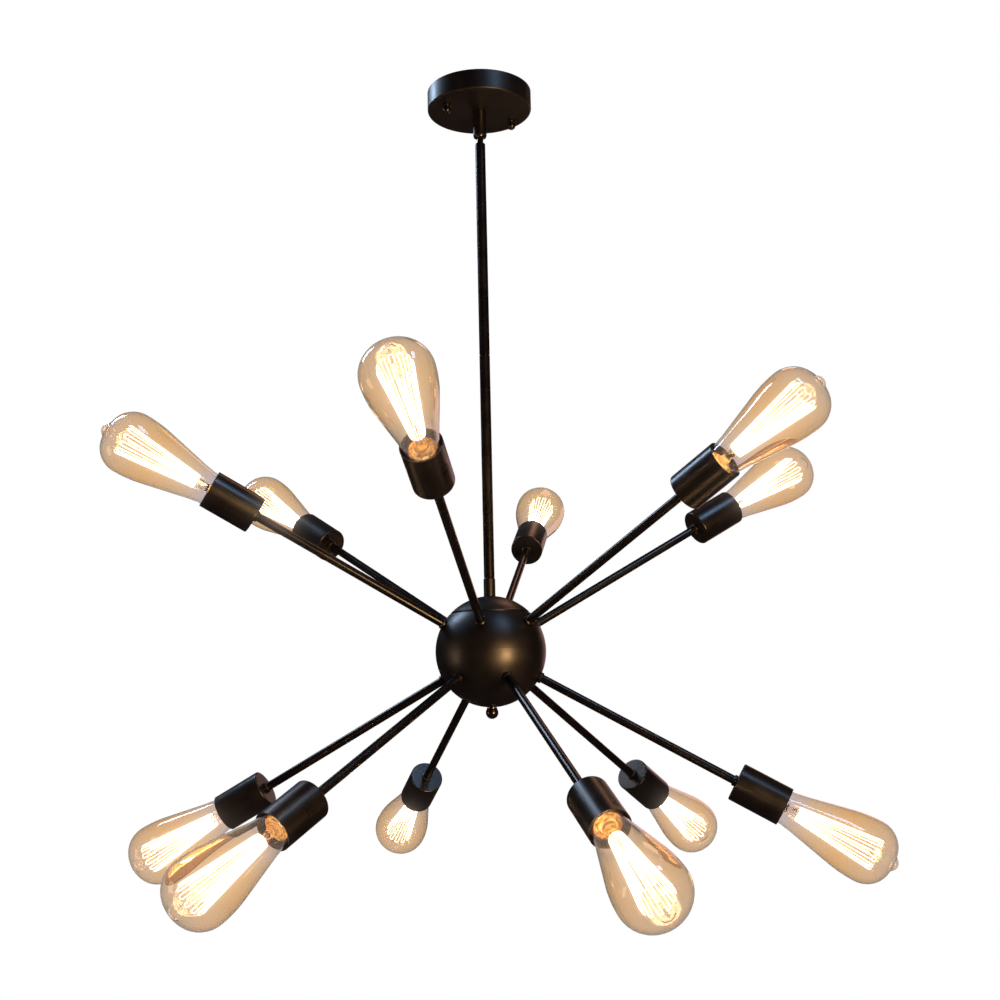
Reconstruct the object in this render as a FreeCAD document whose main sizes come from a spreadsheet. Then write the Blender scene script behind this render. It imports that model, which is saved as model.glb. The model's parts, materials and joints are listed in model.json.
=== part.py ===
import FreeCAD, Part
import math
import os
import re
import Sketcher
from FreeCAD import Placement, Rotation, Vector

# A sputnik chandelier: a ceiling canopy, a hang-straight swivel, two rods, a round hub and
# twelve arms, each with a socket cup and a pear-shaped filament bulb.
# Millimetres. +Z is up, and the origin is the middle of the mounting face on the ceiling.
# Arm parts are drawn along +Z with the middle of the hub at their own origin.

doc = FreeCAD.newDocument("SputnikChandelier")
sheet = doc.addObject("Spreadsheet::Sheet", "Sizes")

# ---------------------------------------------------------------- driving sizes
SIZES = {
    # ceiling straps and their hollow rivet
    "ceiling_strap_width": 18, "strap_end": 1.55, "strap_thickness": 2,
    "box_screw_spacing": 88.9, "slot_length": 12, "slot_width": 5,
    "canopy_strap_width": 16, "stud_margin": 6,
    "eyelet_radius": 6, "eyelet_bore": 5, "eyelet_rim": 8.5, "eyelet_rim_thickness": 0.8,
    "strap_turn": 31, "stud_circle": 84, "stud_radius": 2, "stud_grip": 8,
    "stud_nut_flats": 7, "stud_nut_height": 3.2,
    "ground_screw_place": 22, "ground_screw_radius": 1.75,
    "ground_head_radius": 3.4, "ground_head_height": 2.2, "ground_head_edge": 0.8,
    "ring_terminal_thickness": 0.8,
    # canopy, its nuts and its nipple
    "canopy_radius": 58, "canopy_depth": 22, "canopy_wall": 1.2, "canopy_corner": 2,
    "cap_nut_radius": 4.6, "cap_nut_collar": 3, "cap_nut_waist": 3.4, "cap_nut_waist_height": 1.2,
    "cap_nut_edge": 0.5,
    "nipple_radius": 5, "pipe_bore": 3, "nipple_rise": 8, "nipple_reach": 15,
    "nipple_nut_flats": 14, "nipple_nut_height": 3.5, "washer_radius": 9, "washer_thickness": 1,
    # hang-straight swivel
    "swivel_radius": 7.5, "swivel_length": 35, "swivel_bore": 6.3, "swivel_mouth_angle": 65,
    "ball_radius": 6, "ball_bore": 2.4, "ball_neck": 3.5, "rod_gap": 10.5, "spigot_length": 12,
    # rods and coupler
    "rod_radius": 5.65, "rod_length": 244, "rod_chamfer": 0.8,
    "thread_radius": 4, "joint_nipple_length": 24,
    "coupler_radius": 6.2, "coupler_length": 19, "nipple_bite": 10,
    # hub
    "hub_radius": 58, "hub_wall": 1.5, "seam_height": 40, "seam_gap": 0.6,
    "lip_bore": 32, "lip_thickness": 1.5, "cap_wall": 1.2, "cap_seat_outer": 40,
    "cap_seat_inner": 38.4, "arm_hole": 4.2,
    "bracket_length": 74, "bracket_width": 16, "bracket_thickness": 3, "hub_nipple_tail": 3,
    "block_radius": 14, "block_height": 8, "block_gap": 2, "block_bore": 3,
    "finial_radius": 6.6, "finial_seat": 5.4, "finial_neck": 5.3, "finial_stud_radius": 2,
    "finial_tail": 1.5,
    # arms and their nuts
    "arm_rise": 29, "upper_tier_angle": 19, "lower_tier_angle": 49, "arm_radius": 4.4,
    "reach": 282.5, "hub_bite": 8, "socket_bite": 8,
    "collar_radius": 5.8, "collar_length": 3.5, "collar_chamfer": 0.8,
    "pipe_nut_flats": 12, "pipe_nut_height": 4,
    # socket cup and socket
    "cup_radius": 19.5, "cup_length": 52.5, "cup_wall": 1, "cup_corner": 1.5,
    "socket_radius": 16.5, "socket_recess": 7, "socket_cavity": 14, "socket_floor": 12.5,
    "socket_shoulder": 2, "socket_taper": 4, "socket_edge": 1,
    "shell_wall": 0.4, "shell_floor_bore": 9, "shell_short": 2,
    "contact_radius": 4, "contact_rivet": 1.6,
    # bulb: pear glass 64 across, medium screw cap
    "joint_recess": 6, "screw_radius": 13, "screw_length": 23.8, "screw_wall": 0.5,
    "screw_taper": 5, "screw_shoulder": 0.6, "insulator_radius": 7.5, "insulator_height": 2.4,
    "tip_contact_radius": 4.5, "tip_contact_height": 1, "tip_contact_edge": 1,
    "glass_wall": 0.8, "neck_radius": 17, "neck_shoulder": 3.8, "neck_length": 11,
    "cone_radius": 29.5, "cone_height": 62, "belly_radius": 32, "belly_height": 88,
    "belly_curve": 135, "dome_curve": 26,
    "nub_foot": 11, "nub_fillet": 5, "nub_shoulder": 7, "nub_curve": 8, "nub_height": 5,
    "stem_radius": 5, "stem_top_radius": 2.6, "stem_height": 34,
    # wiring
    "rod_wire_radius": 1, "rod_wire_offset": 1.15, "lamp_wire_radius": 0.8, "lamp_wire_offset": 1.1,
    "lead_turn": 6, "lead_spread": 4.8, "lead_swing": 9, "lead_dip": 1, "lead_tail": 4,
    "neutral_drop": 2, "neutral_rise": 6, "block_tail": 4, "wire_slack": 12, "connector_side": 6,
    "connector_radius": 5, "connector_tip": 3.6, "connector_length": 18,
    "connector_place": 18, "earth_seat": 11, "earth_angle": 31, "earth_tail": 6, "ball_wire_gap": 2,
    # clearances
    "thread_gap": 0.05, "pivot_gap": 0.08, "running_gap": 0.3, "contact_gap": 0.5,
}

for row, (name, number) in enumerate(SIZES.items(), start=1):
    sheet.set(f"A{row}", name)
    sheet.set(f"B{row}", str(number))
    sheet.setAlias(f"B{row}", name)
doc.recompute()

# Levels and places that follow from the driving sizes.
PLACES = {
    "ceiling_strap_length": "box_screw_spacing + slot_length + 2 * strap_end",
    "canopy_strap_length": "stud_circle + 2 * stud_margin",
    "strap_level": "-(strap_thickness + running_gap)",
    "strap_under": "strap_level - strap_thickness",
    "canopy_floor": "-(canopy_depth - canopy_wall)",
    "ball_level": "-(canopy_depth + swivel_length - swivel_radius)",
    "rod_top": "ball_level - rod_gap",
    "rod_joint": "rod_top - rod_length",
    "coupler_top": "rod_joint - rod_length",
    "hub_top": "coupler_top - coupler_length",
    "hub_level": "hub_top - hub_radius",
    "hub_inside": "hub_radius - hub_wall",
    "shell_top": "seam_height - seam_gap",
    "lip_under": "shell_top - lip_thickness",
    "bracket_under": "lip_under - bracket_thickness",
    "collar_seat": "sqrt(hub_radius^2 - arm_hole^2)",
    "nut_corner": "pipe_nut_flats / sqrt(3)",
    "hub_nut_seat": "sqrt(hub_inside^2 - nut_corner^2) - thread_gap",
    "cup_inside": "reach + cup_wall",
    "cup_mouth": "reach + cup_length",
    "spigot_end": "cup_inside + pipe_nut_height + socket_bite",
    "socket_base": "cup_inside + pipe_nut_height",
    "socket_mouth": "cup_mouth - socket_recess",
    "cavity_floor": "socket_base + socket_floor",
    "glass_joint": "cup_mouth - joint_recess",
    "screw_end": "glass_joint - screw_length",
    "bulb_end": "screw_end - insulator_height - tip_contact_height",
    "hole_radius": "thread_radius + thread_gap",
}


def sized(text):
    """Turn plain size names into an expression on the sheet."""
    def swap(match):
        word = match.group(0)
        if word in PLACES:
            return "(" + sized(PLACES[word]) + ")"
        return "Sizes." + word if word in SIZES else word
    return re.sub(r"[A-Za-z_]+", swap, str(text))


def value(text):
    """The number that an expression of size names has now."""
    return float(sheet.evalExpression(sized(text)))


# ---------------------------------------------------------------- drawing helpers
def body_plane(body, role):
    """One of the origin planes of a body, by its role."""
    return next(part for part in body.Origin.OriginFeatures if part.Role == role)


def fix_point(sketch, edge, end, across, along):
    """Hold a sketch point at two sizes measured from the sketch's origin."""
    for kind, axis, text in (("DistanceX", -2, across), ("DistanceY", -1, along)):
        if str(text) == "0":
            sketch.addConstraint(Sketcher.Constraint("PointOnObject", edge, end, axis))
        else:
            rule = Sketcher.Constraint(kind, -1, 1, edge, end, value(text))
            number = sketch.addConstraint(rule)
            sketch.setExpression(f"Constraints[{number}]", sized(text))


def draw_edge(sketch, start, end, curve):
    """A line, or an arc whose middle is left (+) or right (-) of the way; returns its two ends."""
    a = Vector(value(start[0]), value(start[1]), 0)
    b = Vector(value(end[0]), value(end[1]), 0)
    if curve is None:
        return sketch.addGeometry(Part.LineSegment(a, b), False), 1, 2
    side = -1 if curve.startswith("-") else 1
    radius = value(curve.lstrip("+-"))
    half = (b - a).Length / 2
    across = Vector(a.y - b.y, b.x - a.x, 0).normalize()
    middle = (a + b) / 2 + across * side * math.sqrt(max(radius ** 2 - half ** 2, 0))
    first, last = (a, b) if side > 0 else (b, a)
    angles = [math.atan2(p.y - middle.y, p.x - middle.x) for p in (first, last)]
    circle = Part.Circle(middle, Vector(0, 0, 1), radius)
    edge = sketch.addGeometry(Part.ArcOfCircle(circle, angles[0], angles[1]), False)
    return (edge, 1, 2) if side > 0 else (edge, 2, 1)


def draw_loop(sketch, corners):
    """A closed outline: each corner is (across, along) or (across, along, curve to the next)."""
    edges = []
    for here, following in zip(corners, corners[1:] + corners[:1]):
        curve = here[2] if len(here) > 2 else None
        edges.append((draw_edge(sketch, here, following, curve), here, curve))
    for (this, _, _), (after, _, _) in zip(edges, edges[1:] + edges[:1]):
        sketch.addConstraint(Sketcher.Constraint("Coincident", this[0], this[2], after[0], after[1]))
    for (edge, start, _), corner, curve in edges:
        fix_point(sketch, edge, start, corner[0], corner[1])
        if curve is not None:
            number = sketch.addConstraint(
                Sketcher.Constraint("Radius", edge, value(curve.lstrip("+-"))))
            sketch.setExpression(f"Constraints[{number}]", sized(curve.lstrip("+-")))


def draw_circle(sketch, across, along, radius):
    """A circle of one size at a sized place."""
    middle = Vector(value(across), value(along), 0)
    edge = sketch.addGeometry(Part.Circle(middle, Vector(0, 0, 1), value(radius)), False)
    fix_point(sketch, edge, 3, across, along)
    number = sketch.addConstraint(Sketcher.Constraint("Radius", edge, value(radius)))
    sketch.setExpression(f"Constraints[{number}]", sized(radius))


def new_sketch(body, name, role):
    """A sketch on an origin plane of its body."""
    sketch = body.newObject("Sketcher::SketchObject", name)
    sketch.AttachmentSupport = [(body_plane(body, role), "")]
    sketch.MapMode = "FlatFace"
    return sketch


def placed(piece, level="0", turn="0", tilt="0"):
    """Put a piece on the vertical axis at a level, leaned from +Z by tilt towards turn."""
    spot = f"create(<<vector>>; 0; 0; {sized(level)})"
    lean = f"create(<<rotation>>; {sized(turn)}; {sized(tilt)}; 0)"
    piece.setExpression("Placement", f"create(<<placement>>; {spot}; {lean})")
    return piece


def turned(label, corners, level="0"):
    """A turned piece: an outline of radius and height spun about its own axis."""
    body = doc.addObject("PartDesign::Body", label)
    sketch = new_sketch(body, label + "_outline", "XZ_Plane")
    draw_loop(sketch, corners)
    spin = body.newObject("PartDesign::Revolution", label + "_turned")
    spin.Profile = sketch
    spin.ReferenceAxis = (sketch, ["V_Axis"])
    spin.Angle = 360
    return placed(body, level)


def padded(body, sketch, thickness, name):
    """Pad a sketch upwards by a size."""
    pad = body.newObject("PartDesign::Pad", name)
    pad.Profile = sketch
    pad.setExpression("Length", sized(thickness))
    return pad


def pocketed(body, sketch, depth, name, upwards=True):
    """Cut a sketch into its body, upwards from its plane or downwards."""
    cut = body.newObject("PartDesign::Pocket", name)
    cut.Profile = sketch
    cut.Reversed = upwards
    cut.setExpression("Length", sized(depth))
    return cut


def stadium(length, width):
    """A bar with round ends, as four quarter arcs and two sides."""
    side = f"{length} / 2 - {width} / 2"
    half = f"{width} / 2"
    return [(f"-({side})", f"-{half}"), (side, f"-{half}", f"+{half}"),
            (f"{length} / 2", "0", f"+{half}"), (side, half), (f"-({side})", half, f"+{half}"),
            (f"-({length} / 2)", "0", f"+{half}")]


def hexagon(flats):
    """The six corners of a nut of a width across flats."""
    corner = f"{flats} / sqrt(3)"
    return [(corner, "0"), (f"{corner} / 2", f"{flats} / 2"), (f"-{corner} / 2", f"{flats} / 2"),
            (f"-{corner}", "0"), (f"-{corner} / 2", f"-{flats} / 2"), (f"{corner} / 2", f"-{flats} / 2")]


def hex_nut(label, flats, height, bore, level="0"):
    """A plain hexagon nut standing on its own origin plane."""
    body = doc.addObject("PartDesign::Body", label)
    sketch = new_sketch(body, label + "_hexagon", "XY_Plane")
    draw_loop(sketch, hexagon(flats))
    draw_circle(sketch, "0", "0", bore)
    padded(body, sketch, height, label + "_block")
    return placed(body, level)


def tube(inner, outer, low, high, chamfer=None):
    """The outline of a tube, with its outer edges chamfered if a chamfer is given."""
    if chamfer is None:
        return [(inner, low), (outer, low), (outer, high), (inner, high)]
    return [(inner, low), (f"{outer} - {chamfer}", low), (outer, f"{low} + {chamfer}"),
            (outer, f"{high} - {chamfer}"), (f"{outer} - {chamfer}", high), (inner, high)]


def link_to(piece, number):
    """One more copy of a piece that was drawn once."""
    link = doc.addObject("App::Link", f"{piece.Name}_copy_{number}")
    link.setLink(piece)
    link.LinkTransform = True
    return link


def group(label, members):
    """One node made of several separate solids."""
    whole = doc.addObject("Part::Compound", label)
    whole.Links = members
    return whole


TIER_ARMS = 6
ARM_ANGLE = 360 // TIER_ARMS
ARM_TURNS = [("upper", k + 1, f"upper_tier_angle + {ARM_ANGLE * k}", "90 - arm_rise")
             for k in range(TIER_ARMS)]
ARM_TURNS += [("lower", k + 1, f"lower_tier_angle + {ARM_ANGLE * k}", "90 + arm_rise")
              for k in range(TIER_ARMS)]


def on_arms(piece, rows=None):
    """Copies of an arm piece, one on each arm of the hub."""
    copies = []
    for number, (_, _, turn, tilt) in enumerate(rows or ARM_TURNS, start=1):
        copies.append(placed(link_to(piece, number), "hub_level", turn, tilt))
    return copies


def on_studs(piece, level):
    """Copies of a piece on the two canopy studs."""
    copies = []
    for number, side in enumerate((1, -1), start=1):
        link = link_to(piece, number)
        reach = f"{side} * {sized('stud_circle / 2')}"
        spot = (f"create(<<vector>>; {reach} * cos({sized('strap_turn')}); "
                f"{reach} * sin({sized('strap_turn')}); {sized(level)})")
        link.setExpression("Placement", f"create(<<placement>>; {spot}; create(<<rotation>>; 0; 0; 0))")
        copies.append(link)
    return copies


BEND_SHARE = 0.45  # how much of the shorter run beside a corner its arc takes
ROUTE_TOLERANCE = 0.01


def route(points, radius):
    """A wire of one thickness along straight runs joined by tangent arcs."""
    edges = []
    here = points[0]
    for before, corner, after in zip(points, points[1:], points[2:]):
        toward = (before - corner).normalize()
        away = (after - corner).normalize()
        half_turn = (math.pi - toward.getAngle(away)) / 2
        setback = BEND_SHARE * min((corner - before).Length, (after - corner).Length)
        bend = setback / math.tan(half_turn)
        middle = corner + (toward + away).normalize() * math.hypot(bend, setback)
        top = middle + (corner - middle).normalize() * bend
        enter = corner + toward * setback
        leave = corner + away * setback
        edges.append(Part.LineSegment(here, enter).toShape())
        edges.append(Part.Arc(enter, top, leave).toShape())
        here = leave
    edges.append(Part.LineSegment(here, points[-1]).toShape())
    path = Part.Wire(edges)
    ring = Part.Wire([Part.makeCircle(radius, points[0], points[1] - points[0])])
    wire = path.makePipeShell([ring], True, True)
    wanted = path.Length * math.pi * radius ** 2
    if abs(wire.Volume - wanted) > ROUTE_TOLERANCE * wanted:
        raise ValueError("a wire does not have the volume of its route")
    return wire


def shaped(label, solids, level="0"):
    """A node of free shapes, such as wires, placed at a level on the vertical axis."""
    piece = doc.addObject("Part::Feature", label)
    piece.Shape = solids[0] if len(solids) == 1 else Part.makeCompound(solids)
    return placed(piece, level)


# ---------------------------------------------------------------- ceiling straps
def ceiling_strap():
    """The flat bar screwed to the ceiling box, with a slot for each box screw."""
    body = doc.addObject("PartDesign::Body", "ceiling_strap")
    bar = new_sketch(body, "ceiling_bar", "XY_Plane")
    draw_loop(bar, stadium("ceiling_strap_length", "ceiling_strap_width"))
    draw_circle(bar, "0", "0", "eyelet_radius + thread_gap")
    for side in ("-", ""):
        middle = f"{side}(box_screw_spacing / 2)"
        slot = [(f"{middle} + ({x})" if x != "0" else middle, y, *curve)
                for x, y, *curve in stadium("slot_length", "slot_width")]
        draw_loop(bar, slot)
    padded(body, bar, "strap_thickness", "ceiling_plate")
    recess = new_sketch(body, "eyelet_recess", "XY_Plane")
    draw_circle(recess, "0", "0", "eyelet_rim + thread_gap")
    pocketed(body, recess, "strap_thickness", "eyelet_seat")
    recess.setExpression("AttachmentOffset", f"create(<<placement>>; create(<<vector>>; 0; 0; "
                         f"{sized('strap_thickness - eyelet_rim_thickness - thread_gap')}); "
                         "create(<<rotation>>; 0; 0; 0))")
    return placed(body, "-strap_thickness")


def strap_eyelet():
    """The hollow rivet that holds the two straps together and lets them turn."""
    top_rim = "-(thread_gap + eyelet_rim_thickness)"
    low_rim = "strap_under - running_gap"
    return turned("strap_eyelet", [
        ("eyelet_bore", f"{low_rim} - eyelet_rim_thickness"),
        ("eyelet_rim", f"{low_rim} - eyelet_rim_thickness"), ("eyelet_rim", low_rim),
        ("eyelet_radius", low_rim), ("eyelet_radius", top_rim), ("eyelet_rim", top_rim),
        ("eyelet_rim", "-thread_gap"), ("eyelet_bore", "-thread_gap")])


def canopy_strap():
    """The bar that carries the canopy's two studs and turns under the ceiling strap."""
    body = doc.addObject("PartDesign::Body", "canopy_strap")
    bar = new_sketch(body, "canopy_bar", "XY_Plane")
    draw_loop(bar, stadium("canopy_strap_length", "canopy_strap_width"))
    draw_circle(bar, "0", "0", "eyelet_radius + pivot_gap")
    for side in ("-", ""):
        draw_circle(bar, f"{side}(stud_circle / 2)", "0", "stud_radius + thread_gap")
    draw_circle(bar, "ground_screw_place", "0", "ground_screw_radius + thread_gap")
    padded(body, bar, "strap_thickness", "canopy_plate")
    return placed(body, "strap_under", "strap_turn")


def canopy_studs():
    """Two threaded studs that hang the canopy from its strap, each with a lock nut."""
    floor = "-canopy_depth - stud_grip"
    stud = turned("stud", [("0", floor), ("stud_radius", floor), ("stud_radius", "strap_level"),
                           ("0", "strap_level")])
    nut = hex_nut("stud_nut", "stud_nut_flats", "stud_nut_height", "stud_radius + thread_gap")
    return (group("canopy_studs", on_studs(stud, "0")),
            group("stud_lock_nuts", on_studs(nut, "strap_under - stud_nut_height")))


def ground_screw():
    """The green earth screw in the canopy strap."""
    low = "-(ring_terminal_thickness + ground_head_height)"
    screw = turned("ground_screw", [
        ("0", low), ("ground_head_radius - ground_head_edge", low),
        ("ground_head_radius", f"{low} + ground_head_edge"),
        ("ground_head_radius", "-ring_terminal_thickness"),
        ("ground_screw_radius", "-ring_terminal_thickness"),
        ("ground_screw_radius", "strap_thickness"), ("0", "strap_thickness")])
    reach = sized("ground_screw_place")
    turn = sized("strap_turn")
    spot = f"create(<<vector>>; {reach} * cos({turn}); {reach} * sin({turn}); {sized('strap_under')})"
    screw.setExpression("Placement", f"create(<<placement>>; {spot}; create(<<rotation>>; {turn}; 0; 0))")
    return screw


# ---------------------------------------------------------------- canopy
def canopy():
    """The round pan that covers the ceiling box."""
    inner = "canopy_radius - canopy_wall"
    inner_corner = "canopy_corner - canopy_wall"
    pan = turned("canopy", [
        ("nipple_radius + thread_gap", "-canopy_depth"),
        ("canopy_radius - canopy_corner", "-canopy_depth", "+canopy_corner"),
        ("canopy_radius", "-canopy_depth + canopy_corner"), ("canopy_radius", "0"), (inner, "0"),
        (inner, f"canopy_floor + {inner_corner}", f"-({inner_corner})"),
        (f"{inner} - ({inner_corner})", "canopy_floor"), ("nipple_radius + thread_gap", "canopy_floor")])
    holes = new_sketch(pan, "stud_holes", "XY_Plane")
    for side in (1, -1):
        draw_circle(holes, f"{side} * stud_circle / 2 * cos(strap_turn)",
                    f"{side} * stud_circle / 2 * sin(strap_turn)", "stud_radius + running_gap")
    pocketed(pan, holes, "canopy_depth + canopy_wall", "stud_hole_cut", upwards=False)
    return pan


def canopy_cap_nuts():
    """The two ball cap nuts under the canopy."""
    waist = "-cap_nut_collar - cap_nut_waist_height"
    drop = "sqrt(cap_nut_radius^2 - cap_nut_waist^2)"
    ball = f"{waist} - {drop}"
    bore_end = "-stud_grip - contact_gap"
    nut = turned("cap_nut", [
        ("stud_radius + thread_gap", "0"), ("stud_radius + thread_gap", bore_end), ("0", bore_end),
        ("0", f"{ball} - cap_nut_radius", "+cap_nut_radius"), ("cap_nut_radius", ball, "+cap_nut_radius"),
        ("cap_nut_waist", waist), ("cap_nut_waist", "-cap_nut_collar"),
        ("cap_nut_radius - cap_nut_edge", "-cap_nut_collar"),
        ("cap_nut_radius", "-cap_nut_collar + cap_nut_edge"),
        ("cap_nut_radius", "-cap_nut_edge"), ("cap_nut_radius - cap_nut_edge", "0")])
    return group("canopy_cap_nuts", on_studs(nut, "-canopy_depth"))


def canopy_nipple():
    """The hollow stepped screw through the canopy that the swivel turns on."""
    shoulder = "swivel_bore - pivot_gap"
    low = "-canopy_depth - nipple_reach"
    return turned("canopy_nipple", [
        ("pipe_bore", low), (shoulder, low), (shoulder, "-canopy_depth"),
        ("nipple_radius", "-canopy_depth"), ("nipple_radius", "canopy_floor + nipple_rise"),
        ("pipe_bore", "canopy_floor + nipple_rise")])


def canopy_nipple_nut():
    """The washer and nut that clamp the nipple to the canopy's floor."""
    bore = "nipple_radius + thread_gap"
    washer = turned("canopy_washer", tube(bore, "washer_radius", "0", "washer_thickness"),
                    "canopy_floor")
    nut = hex_nut("canopy_nipple_nut", "nipple_nut_flats", "nipple_nut_height", bore,
                  "canopy_floor + washer_thickness")
    return washer, nut


# ---------------------------------------------------------------- swivel
def swivel_cup():
    """The cup under the canopy that holds the ball and turns on the nipple."""
    angle = "swivel_mouth_angle"
    return turned("swivel_cup", [
        (f"swivel_bore * sin({angle})", f"-swivel_bore * cos({angle})"),
        (f"swivel_radius * sin({angle})", f"-swivel_radius * cos({angle})", "+swivel_radius"),
        ("swivel_radius", "0"), ("swivel_radius", "swivel_length - swivel_radius - running_gap"),
        ("swivel_bore", "swivel_length - swivel_radius - running_gap"),
        ("swivel_bore", "0", "-swivel_bore")], "ball_level")


def swivel_ball():
    """The drilled ball whose neck leaves the cup and screws into the rod."""
    top = "sqrt(ball_radius^2 - ball_bore^2)"
    neck = "-sqrt(ball_radius^2 - ball_neck^2)"
    end = "-rod_gap - spigot_length"
    return turned("swivel_ball", [
        ("ball_bore", end), ("thread_radius", end), ("thread_radius", "-rod_gap - running_gap"),
        ("ball_neck", "-rod_gap - running_gap"), ("ball_neck", neck, "+ball_radius"),
        ("ball_radius", "0", "+ball_radius"), ("ball_bore", top)], "ball_level")


# ---------------------------------------------------------------- rods
def rods():
    """Two equal rods, the nipple inside their joint and the coupler under them."""
    section = tube("hole_radius", "rod_radius", "0", "rod_length", "rod_chamfer")
    upper = turned("upper_rod", section, "rod_joint")
    lower = turned("lower_rod", section, "coupler_top")
    joint = turned("rod_nipple", tube("pipe_bore", "thread_radius", "-joint_nipple_length / 2",
                                      "joint_nipple_length / 2"), "rod_joint")
    coupler = turned("rod_coupler", [
        ("hole_radius", "0"), ("coupler_radius", "0"),
        ("coupler_radius", "coupler_length - rod_chamfer"),
        ("coupler_radius - rod_chamfer", "coupler_length"), ("hole_radius", "coupler_length")],
        "hub_top")
    return upper, lower, joint, coupler


# ---------------------------------------------------------------- hub
def hub_nipple():
    """The pipe that hangs the hub: from the lower rod, through coupler, cap and bracket."""
    low = "bracket_under - pipe_nut_height - hub_nipple_tail"
    high = "hub_radius + coupler_length + nipple_bite"
    return turned("hub_nipple", tube("pipe_bore", "thread_radius", low, high), "hub_level")


def hub_cap():
    """The dome on top of the hub, standing on the shell's lip."""
    inner = "hub_radius - cap_wall"
    hole = "hole_radius"
    return turned("hub_cap", [
        ("sqrt(hub_radius^2 - seam_height^2)", "seam_height", "+hub_radius"),
        (hole, f"sqrt(hub_radius^2 - {hole}^2)"), (hole, f"sqrt(({inner})^2 - {hole}^2)", f"-({inner})"),
        ("cap_seat_inner", f"sqrt(({inner})^2 - cap_seat_inner^2)"), ("cap_seat_inner", "shell_top"),
        ("cap_seat_outer", "shell_top"), ("cap_seat_outer", "seam_height")], "hub_level")


def hub_shell():
    """The hub ball, open under its cap, with twelve arm holes and a finial hole."""
    hole = "finial_stud_radius + thread_gap"
    ball = turned("hub_ball", [
        (hole, f"-sqrt(hub_radius^2 - ({hole})^2)", "+hub_radius"), ("hub_radius", "0", "+hub_radius"),
        ("sqrt(hub_radius^2 - shell_top^2)", "shell_top"), ("lip_bore", "shell_top"),
        ("lip_bore", "lip_under"), ("sqrt(hub_inside^2 - lip_under^2)", "lip_under", "-hub_inside"),
        ("hub_inside", "0", "-hub_inside"), (hole, f"-sqrt(hub_inside^2 - ({hole})^2)")])
    placed(ball, "hub_level")
    drill = doc.addObject("Part::Cylinder", "arm_drill")
    drill.setExpression("Radius", sized("arm_hole"))
    drill.setExpression("Height", sized("hub_radius + hub_bite"))
    drills = group("arm_drills", on_arms(drill))
    # Each drill starts at the middle of the ball, so it cuts one wall only.
    shell = doc.addObject("Part::Cut", "hub_shell")
    shell.Base = ball
    shell.Tool = drills
    return shell


def hub_bracket():
    """The bar under the shell's lip that the hub hangs by."""
    body = doc.addObject("PartDesign::Body", "hub_bracket")
    bar = new_sketch(body, "bracket_bar", "XY_Plane")
    draw_loop(bar, stadium("bracket_length", "bracket_width"))
    draw_circle(bar, "0", "0", "hole_radius")
    padded(body, bar, "bracket_thickness", "bracket_plate")
    return placed(body, "hub_level + bracket_under", "lower_tier_angle")


def finial():
    """The ball under the hub, on its own short stud."""
    neck_top = "-finial_seat + sqrt(finial_radius^2 - finial_neck^2)"
    stud_top = "hub_wall + stud_nut_height + finial_tail"
    return turned("finial", [
        ("0", "-finial_seat - finial_radius", "+finial_radius"),
        ("finial_radius", "-finial_seat", "+finial_radius"), ("finial_neck", neck_top),
        ("finial_neck", "-thread_gap"), ("finial_stud_radius", "-thread_gap"),
        ("finial_stud_radius", stud_top), ("0", stud_top)],
        "hub_level - hub_radius")


def finial_nut():
    """The nut inside the hub on the finial's stud."""
    lift = "hub_radius - sqrt(hub_inside^2 - stud_nut_flats^2 / 3) + thread_gap"
    return hex_nut("finial_nut", "stud_nut_flats", "stud_nut_height", "finial_stud_radius + thread_gap",
                   f"hub_level - hub_radius + {lift}")


def terminal_blocks():
    """Two round push-in terminal blocks in the hub, one for each side of the supply."""
    half = "block_gap / 2"
    upper = turned("neutral_block", tube("block_bore", "block_radius", half, f"{half} + block_height"),
                   "hub_level")
    lower = turned("line_block", [
        ("0", f"-{half} - block_height"), ("block_radius", f"-{half} - block_height"),
        ("block_radius", f"-{half}"), ("0", f"-{half}")], "hub_level")
    return group("terminal_blocks", [upper, lower])


# ---------------------------------------------------------------- arms
def arms():
    """Twelve arm tubes, turned down and threaded at both ends."""
    inner_end = "hub_radius - hub_bite"
    shoulder = "collar_seat + collar_length"
    outer = "reach - collar_length"
    arm = turned("arm", [
        ("pipe_bore", inner_end), ("thread_radius", inner_end), ("thread_radius", shoulder),
        ("arm_radius", shoulder), ("arm_radius", outer), ("thread_radius", outer),
        ("thread_radius", "spigot_end"), ("pipe_bore", "spigot_end")])
    half = len(ARM_TURNS) // 2
    return (group("upper_arms", on_arms(arm, ARM_TURNS[:half])),
            group("lower_arms", on_arms(arm, ARM_TURNS[half:])))


def arm_collars():
    """The round collars at both ends of every arm."""
    near = turned("near_collar", tube("hole_radius", "collar_radius", "collar_seat",
                                      "collar_seat + collar_length", "collar_chamfer"))
    far = turned("far_collar", tube("hole_radius", "collar_radius", "reach - collar_length", "reach",
                                    "collar_chamfer"))
    return group("arm_collars", on_arms(near) + on_arms(far))


def pipe_nuts():
    """The pipe nuts: one in the hub and one in the cup of each arm, and one under the bracket."""
    size = ("pipe_nut_flats", "pipe_nut_height", "hole_radius")
    near = hex_nut("near_nut", *size, "hub_nut_seat - pipe_nut_height")
    far = hex_nut("far_nut", *size, "cup_inside")
    middle = hex_nut("bracket_nut", *size, "hub_level + bracket_under - pipe_nut_height")
    return group("pipe_nuts", on_arms(near) + on_arms(far) + [middle])


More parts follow.
